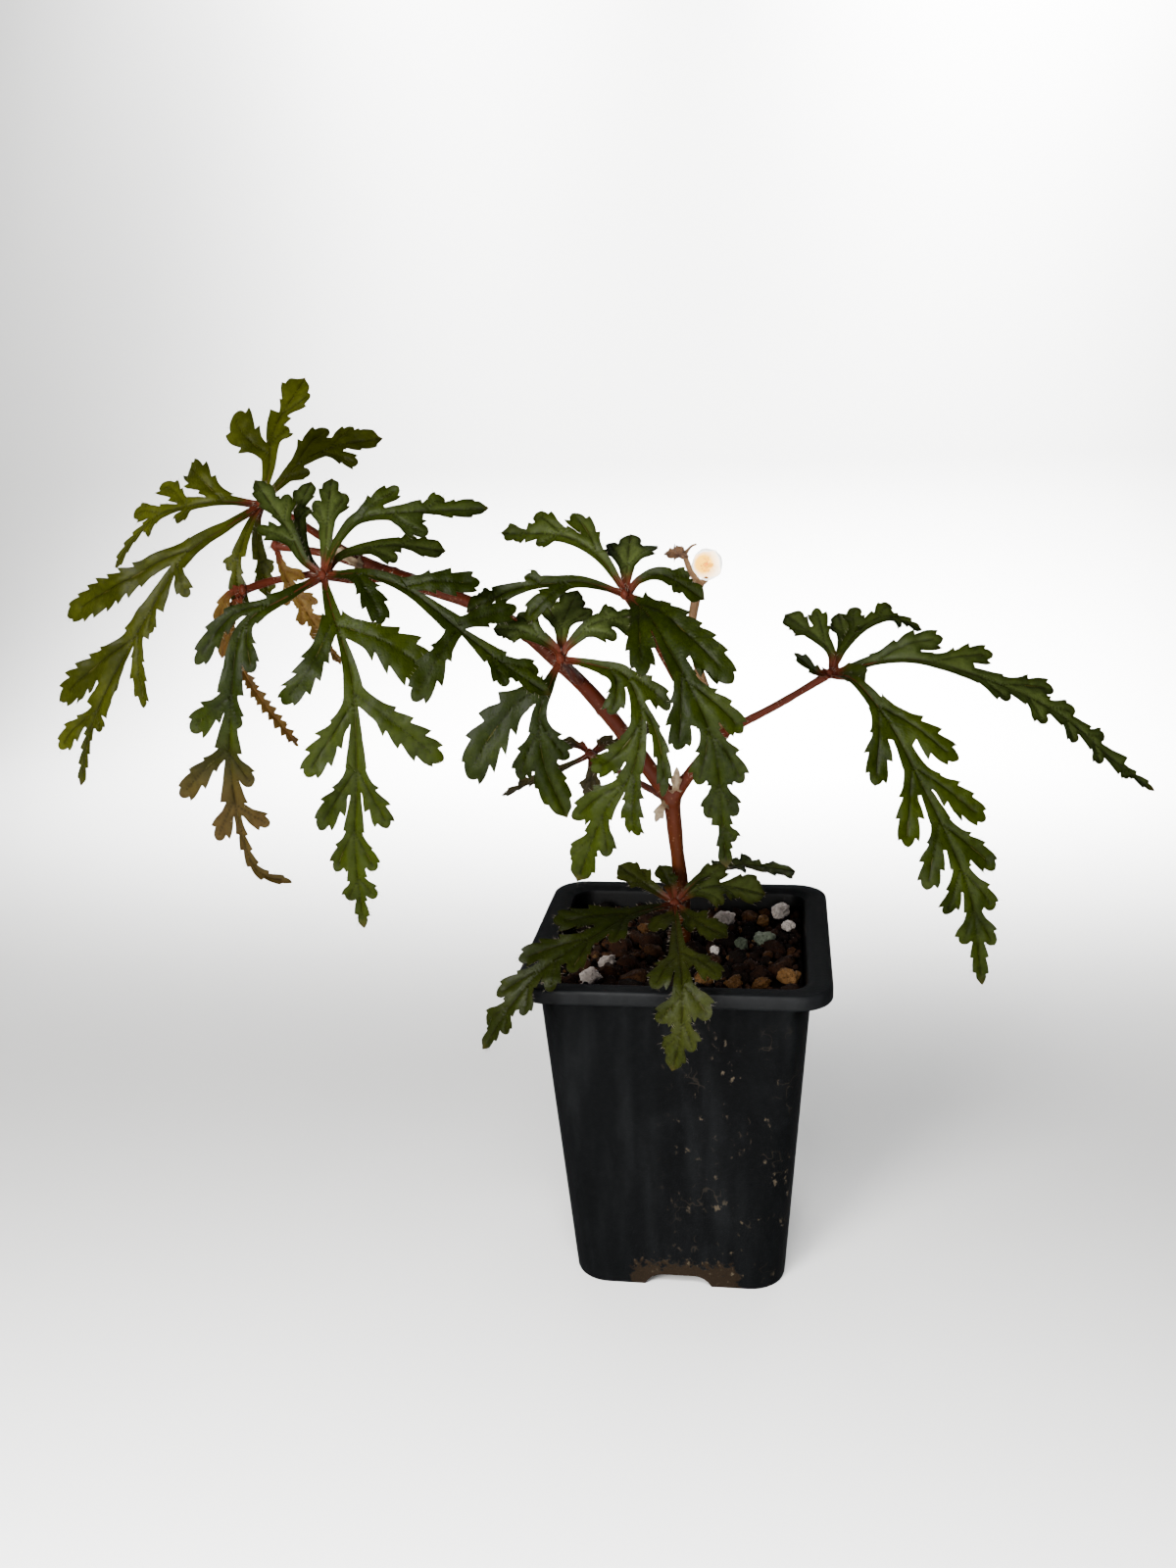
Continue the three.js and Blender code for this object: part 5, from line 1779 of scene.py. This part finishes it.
@dataclass
class Pot:
    """The square pot: a tapered body, a flat rim with a skirt, and a notch in each foot."""

    height: float = 80.0
    rim_width: float = 70.0
    top_width: float = 61.0
    base_width: float = 50.0
    wall: float = 1.2
    floor: float = 1.6
    rim_flat: float = 4.0
    skirt: float = 3.4
    rim_corner: float = 8.0
    body_corner: float = 6.5
    foot_corner: float = 8.5
    round: float = 0.5
    notch_profile: tuple[tuple[float, float], ...] = (
        (-8.0, -1.0), (8.0, -1.0), (8.0, 0.0), (7.1, 1.4), (6.1, 2.3), (4.9, 2.85), (4.0, 3.0),
        (-4.0, 3.0), (-4.9, 2.85), (-6.1, 2.3), (-7.1, 1.4), (-8.0, 0.0))
    notch_depth: float = 6.0
    edge_angle: float = 32.0

    def inner_width(self, z: float) -> float:
        """Returns: the inside width at a height."""
        return self.base_width + (self.top_width - self.base_width) * z / self.height - 2 * self.wall

    def profile(self) -> list[tuple[float, float, float]]:
        """Returns: (width, height, corner radius) of each ring, from the foot outside to the floor inside."""
        under = self.height - 1.6
        thin = self.rim_width - 2 * self.wall
        soft = self.round
        low_skirt = self.height - self.skirt
        return [
            (self.base_width - 2 * soft, 0.0, self.foot_corner - soft),
            (self.base_width - 0.5 * soft, 0.12, self.foot_corner - 0.3),
            (self.base_width + 0.1, soft, self.foot_corner),
            (self.top_width - 0.1, under - 0.8, self.body_corner),
            (self.top_width + 0.5, under - 0.2, self.body_corner + 0.2),
            (self.top_width + 1.6, under, self.body_corner + 0.6),
            (thin - 0.8, under, self.rim_corner - self.wall - 0.3),
            (thin, under - 0.4, self.rim_corner - self.wall),
            (thin, low_skirt + 0.15, self.rim_corner - self.wall),
            (thin + 0.3, low_skirt, self.rim_corner - self.wall + 0.1),
            (self.rim_width - 0.4, low_skirt, self.rim_corner - 0.1),
            (self.rim_width, low_skirt + 0.3, self.rim_corner),
            (self.rim_width, self.height - 0.9, self.rim_corner),
            (self.rim_width - 0.25, self.height - 0.4, self.rim_corner - 0.1),
            (self.rim_width - 0.9, self.height - 0.08, self.rim_corner - 0.4),
            (self.rim_width - 1.6, self.height, self.rim_corner - 0.7),
            (self.rim_width - 2 * self.rim_flat + 0.8, self.height, self.body_corner - 0.8),
            (self.rim_width - 2 * self.rim_flat - 0.6, self.height - 0.2, self.body_corner - 1.0),
            (self.inner_width(self.height) + 0.6, self.height - 0.9, self.body_corner - self.wall),
            (self.inner_width(self.height), self.height - 1.8, self.body_corner - self.wall),
            (self.inner_width(self.floor), self.floor, self.body_corner - self.wall),
        ]

    def build(self) -> bpy.types.Object:
        """Returns: the pot."""
        draft = Draft()
        draft.add(*loft([rounded_square(width, z, corner) for width, z, corner in self.profile()]))
        pot = draft.make("pot_shell", PLASTIC, "pot", ["pot"])
        cutter = self.notches()
        applied(pot, "BOOLEAN", operation="DIFFERENCE", solver="EXACT", object=cutter)
        bpy.data.objects.remove(cutter)
        pot.data.set_sharp_from_angle(angle=math.radians(self.edge_angle))
        return dress(pot, PLASTIC)

    def notches(self) -> bpy.types.Object:
        """Returns: the four arched cutters for the feet."""
        mesh = bpy.data.meshes.new("notches")
        made = bmesh.new()
        half = self.base_width / 2
        for side in range(4):
            turn = Matrix.Rotation(side * math.pi / 2, 4, "Z")
            rings = [[made.verts.new(turn @ Vector((x, y, z)) * MM) for x, z in self.notch_profile]
                     for y in (-half - 2.0, -half + self.notch_depth)]
            outer, inner = rings
            made.faces.new(outer)
            made.faces.new(inner[::-1])
            for i in range(len(outer)):
                j = (i + 1) % len(outer)
                made.faces.new((outer[j], outer[i], inner[i], inner[j]))
        made.to_mesh(mesh)
        made.free()
        return placed("notches", mesh)


@dataclass(frozen=True)
class Surface:
    """How a stone's surface comes about."""

    sides: int
    nearest_side: float
    sharpness: float
    lump_step: float
    lumps: float


class Cut(Enum):
    """How a grain of grit is shaped: with sharp facets as crushed lava, or rounded as pumice or clay."""

    BROKEN = Surface(12, 0.6, 16.0, 2.6, 0.16)
    WORN = Surface(7, 0.62, 8.0, 1.7, 0.26)


def stone(size: Point, cut: Cut, seed: int, detail: int, turn: float) -> tuple[np.ndarray, list[Face]]:
    """Makes an irregular stone round the origin.

    Args:
        size: its half widths.
        cut: how it is shaped.
        seed: picks the shape.
        detail: how finely it is divided.
        turn: its turn about +Z.

    Returns:
        Its vertices and faces.
    """
    draw = random.Random(seed)
    sphere, faces = ball(detail)
    surface = cut.value
    planes = unit(np.array([[draw.gauss(0, 1) for _ in range(3)] for _ in range(surface.sides)]))
    offsets = np.array([draw.uniform(surface.nearest_side, 1.0) for _ in planes])
    facing = np.maximum(sphere @ planes.T, 1e-3)
    reach = offsets / facing
    radius = ((reach**-surface.sharpness).sum(axis=1) + 1.0) ** (-1 / surface.sharpness)
    shift = Vector((draw.uniform(0, 50), draw.uniform(0, 50), draw.uniform(0, 50)))
    lumps = np.array([noise.fractal(Vector(p) * surface.lump_step + shift, 1.0, 2.1, 3) for p in sphere])
    pits = np.array([noise.noise(Vector(p) * 6.5 + shift) for p in sphere])
    radius = radius * (1.04 + surface.lumps * lumps - 0.12 * np.clip(pits, 0.1, 1))
    points = sphere * radius[:, None] * np.array(size)
    c, s = math.cos(turn), math.sin(turn)
    return points @ np.array([[c, s, 0], [-s, c, 0], [0, 0, 1]]), faces


def scatter(seed: float) -> float:
    """Returns: the repeatable chance from 0 to 1 that also shaped the solids."""
    wave = math.sin(seed * 127.1 + 11.7) * 43758.5453
    return wave - math.floor(wave)


@dataclass
class Grit:
    """The soil plug with its lava grains, and the loose stones that stand out by colour."""

    pot: Pot
    top: float = 75.0
    gap: float = 0.3
    stem_foot: tuple[float, float, float] = (0.0, 5.0, 2.1)
    seed: int = 17
    first_grain: int = 500
    fine_size: float = 1.9
    edge_angle: float = 38.0
    pumice: tuple[tuple[float, ...], ...] = (
        (9.5, 19.5, 5.4, 2.6), (23.6, 24.4, 5.4, 3.6), (25.4, 15.8, 3.6, 2), (7.9, -0.4, 3, 1.6),
        (-16.9, -8.4, 4, 2), (-19.6, -17.6, 5.6, 2.6), (-26, -1.6, 3.2, 1.6))
    zeolite: tuple[tuple[float, ...], ...] = ((19.9, 8.6, 7, 2.6), (13.9, 4.6, 4.2, 2))
    clay: tuple[tuple[float, ...], ...] = (
        (6.4, -16.4, 5, 2.4), (13, -18.4, 4.4, 2.2), (19.3, -18.6, 4.2, 2.2), (25.4, -15, 6, 2.8),
        (-10, 12.8, 3.8, 1.8), (18.9, 19.4, 4, 2))

    def build(self) -> None:
        """Builds the soil and the stones."""
        self.build_soil()
        kinds = (
            ("pumice", "pumice", self.pumice, 0, PUMICE),
            ("green_stone", "zeolite", self.zeolite, 20, ZEOLITE),
            ("clay_pebble", "clay", self.clay, 40, CLAY),
        )
        for name, slot, places, first, finish in kinds:
            for i, place in enumerate(places):
                self.build_stone(f"{name}_{i + 1}", slot, place, first + i, finish)

    def build_stone(self, name: str, slot: str, place: tuple[float, ...], seed: int,
                    finish: StoneFinish) -> None:
        """Builds one loose stone.

        Args:
            name: the CAD node it stands for.
            slot: its material slot.
            place: where it lies, its size and its height over the soil.
            seed: the stone's number, which also shaped its solid.
            finish: its finish.
        """
        x, y, size, rise = place
        half = size / 2
        radii = (half * (0.9 + 0.3 * scatter(seed)), half * 0.84, half * 0.8)
        points, faces = stone(radii, Cut.WORN, seed, 5, 3 * scatter(seed + 5))
        draft = Draft()
        tone = 0.3 + 0.5 * scatter(seed + 31)
        draft.add(points + (x, y, self.top + rise - half * 0.75), faces, tone=tone)
        draft.make(f"{name}_stone", finish, slot, [name])

    def build_soil(self) -> None:
        """Builds the plug and the grains that cover its top."""
        inside_width = self.pot.inner_width(self.top) - 2 * self.gap
        corner = self.pot.body_corner - self.pot.wall
        foot = self.pot.floor + self.gap
        rings = [rounded_square(self.pot.inner_width(foot) - 2 * self.gap, foot, corner),
                 rounded_square(inside_width, self.top - 2.4, corner)]
        rings += [rounded_square(inside_width * k, self.top - 2.0, corner * k) for k in (0.96, 0.6, 0.2)]
        plug = Draft()
        plug.add(*loft(rings), tone=0.2)
        draw = random.Random(self.seed)
        places = self.scattered(draw, inside_width)
        for i, (x, y, size, z) in enumerate(places):
            detail = 3 if size > self.fine_size else 2
            shape = (size / 2 * draw.uniform(0.9, 1.25), size / 2 * draw.uniform(0.8, 1.05),
                     size / 2 * draw.uniform(0.65, 0.95))
            points, faces = stone(shape, Cut.BROKEN, self.first_grain + i, detail, draw.uniform(0, 6.28))
            tilt = np.array(Matrix.Rotation(draw.uniform(-0.7, 0.7), 3, "X") @ Matrix.Rotation(
                draw.uniform(-0.7, 0.7), 3, "Y"))
            tone = min(1.0, abs(draw.gauss(0.42, 0.22)))
            plug.add(points @ tilt + (x, y, z), faces, tone=tone)
        soil = plug.make("soil_grit", LAVA, "soil", ["soil"])
        soil.data.set_sharp_from_angle(angle=math.radians(self.edge_angle))

    def scattered(self, draw: random.Random, width: float) -> list[tuple[float, float, float, float]]:
        """Spreads the grains without letting them overlap much.

        Args:
            draw: seeded chance.
            width: the width to fill.

        Returns:
            Place, size and height of each grain, coarse grains first, then fragments in the gaps.
        """
        stones = [*self.pumice, *self.zeolite, *self.clay]
        blocked = [(x, y, size * 0.62) for x, y, size, _ in stones] + [self.stem_foot]
        made: list[tuple[float, float, float, float]] = []
        spans = ((5.2, 7.0, 60, 0.1), (3.6, 5.2, 260, 0.2), (2.2, 3.6, 700, 0.1), (1.1, 2.0, 900, 0.35))
        for low, high, tries, lift in spans:
            for _ in range(tries):
                size = draw.uniform(low, high)
                reach = width / 2 - size * 0.45
                x, y = draw.uniform(-reach, reach), draw.uniform(-reach, reach)
                close = 0.78 if size > 2 else 0.5
                if any(math.hypot(x - bx, y - by) < (size / 2 + br) * close for bx, by, br in blocked):
                    continue
                blocked.append((x, y, size / 2))
                made.append((x, y, size, self.top - 0.6 + lift + draw.uniform(-0.5, 0.6)))
        return made


# Surroundings

@dataclass(frozen=True)
class PaperFinish:
    """Matt near-white paper."""

    name: str = "backdrop_paper"
    colour: Colour = (0.60, 0.60, 0.595)

    def material(self) -> bpy.types.Material:
        """Returns: the paper material."""
        shader = Shader(self.name)
        cloud = shader.noise(160.0, 2.0)
        shade = tuple(0.965 * c for c in self.colour)
        shader.set(Base_Color=shader.mix(cloud, shade, self.colour), Roughness=0.8, Specular_IOR_Level=0.2)
        return shader.material


@dataclass(frozen=True)
class Lamp:
    """One square soft light, with its power in watts and the angle that it shines into in degrees."""

    name: str
    place: Point
    target: Point
    size: float
    power: float
    spread: float
    tint: Colour = (1.0, 1.0, 1.0)

    def hang(self) -> None:
        """Puts the light in the scene, out of the camera's sight."""
        light = bpy.data.lights.new(self.name, "AREA")
        light.shape = "SQUARE"
        light.size = self.size * MM
        light.energy = self.power
        light.spread = math.radians(self.spread)
        light.color = self.tint
        lamp = placed(self.name, light)
        lamp.location = Vector(self.place) * MM
        ahead = Vector(self.target) - Vector(self.place)
        lamp.rotation_euler = ahead.to_track_quat("-Z", "Y").to_euler()
        lamp.visible_camera = False


LAMPS = (
    Lamp("left", (-270, -480, 330), (0, 0, 60), 220, 9.0, 180, (1.0, 0.985, 0.96)),
    Lamp("low", (60, -430, 60), (0, 0, 150), 260, 2.2, 180),
    Lamp("front", (-20, -400, 400), (-20, -390, 0), 240, 13.0, 90),
    Lamp("far_right", (120, 490, 600), (120, 490, 0), 200, 8.5, 62),
    Lamp("far_left", (-160, 490, 600), (-160, 490, 0), 200, 7.5, 62),
    Lamp("wall_right", (190, 420, 640), (200, 600, 400), 250, 12.0, 110),
    Lamp("wall_left", (-200, 420, 640), (-200, 600, 400), 250, 5.5, 110),
)


@dataclass
class Studio:
    """A seamless sweep, soft lights, a dim sky and the camera at the photo's angle."""

    heading: float = 8.33
    pitch: float = 15.9
    roll: float = -1.91
    eye: Point = (23.4, -305.3, 204.6)
    focal: float = 1400.0
    picture: float = 1600.0
    sensor: float = 36.0
    sheet_near: float = -5000.0
    sheet_far: float = 440.0
    sheet_half: float = 5000.0
    sheet_top: float = 1000.0
    bend: float = 160.0
    bend_steps: int = 24
    sky: Colour = (0.95, 0.97, 1.0)
    sky_strength: float = 0.18

    def build(self) -> None:
        """Builds sweep, lights, sky and camera."""
        self.build_sweep()
        for lamp in LAMPS:
            lamp.hang()
        self.build_sky()
        self.build_camera()

    def build_sweep(self) -> None:
        """Builds the floor and the wall behind it as one sheet."""
        line = [(self.sheet_near, 0.0)]
        for k in range(self.bend_steps + 1):
            turn = math.pi / 2 * k / self.bend_steps
            line.append((self.sheet_far + self.bend * math.sin(turn), self.bend * (1 - math.cos(turn))))
        line.append((self.sheet_far + self.bend, self.sheet_top))
        points = [(x, y, z) for y, z in line for x in (-self.sheet_half, self.sheet_half)]
        faces = [(2 * k, 2 * k + 1, 2 * k + 3, 2 * k + 2) for k in range(len(line) - 1)]
        mesh = bpy.data.meshes.new("backdrop")
        mesh.from_pydata([tuple(c * MM for c in p) for p in points], [], faces)
        mesh.polygons.foreach_set("use_smooth", [True] * len(faces))
        mesh.materials.append(Palette.of(PaperFinish()))
        sweep = placed("backdrop", mesh)
        sweep.visible_glossy = False

    def build_sky(self) -> None:
        """Sets the light that comes from all round."""
        world = bpy.data.worlds.new("sky")
        world.use_nodes = True
        background = world.node_tree.nodes["Background"].inputs
        background["Color"].default_value = (*self.sky, 1.0)
        background["Strength"].default_value = self.sky_strength
        bpy.context.scene.world = world

    def build_camera(self) -> None:
        """Sets the camera up."""
        camera = bpy.data.cameras.new("photo_view")
        camera.sensor_width = self.sensor
        camera.lens = self.focal / self.picture * self.sensor
        camera.clip_start = 0.01
        seat = placed("photo_view", camera)
        turn = (Matrix.Rotation(math.radians(self.heading), 4, "Z")
                @ Matrix.Rotation(math.radians(90 - self.pitch), 4, "X")
                @ Matrix.Rotation(math.radians(self.roll), 4, "Z"))
        seat.matrix_world = Matrix.Translation(Vector(self.eye) * MM) @ turn
        bpy.context.scene.camera = seat


def main() -> None:
    """Builds every piece in order and reports the face count of each."""
    logging.basicConfig(level=logging.INFO, format="%(message)s")
    pot = Pot()
    pot.build()
    Grit(pot).build()
    Stem().build()
    for seed, leaf in enumerate(LEAVES):
        leaf.build(seed + 1)
    for seed, scale in enumerate(SCALES):
        scale.build(60 + seed)
    Bloom().build()
    Studio().build()
    for piece in bpy.data.objects:
        if piece.type == "MESH":
            log.info("%s: %d faces", piece.name, len(piece.data.polygons))
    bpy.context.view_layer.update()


if __name__ == "__main__":
    main()
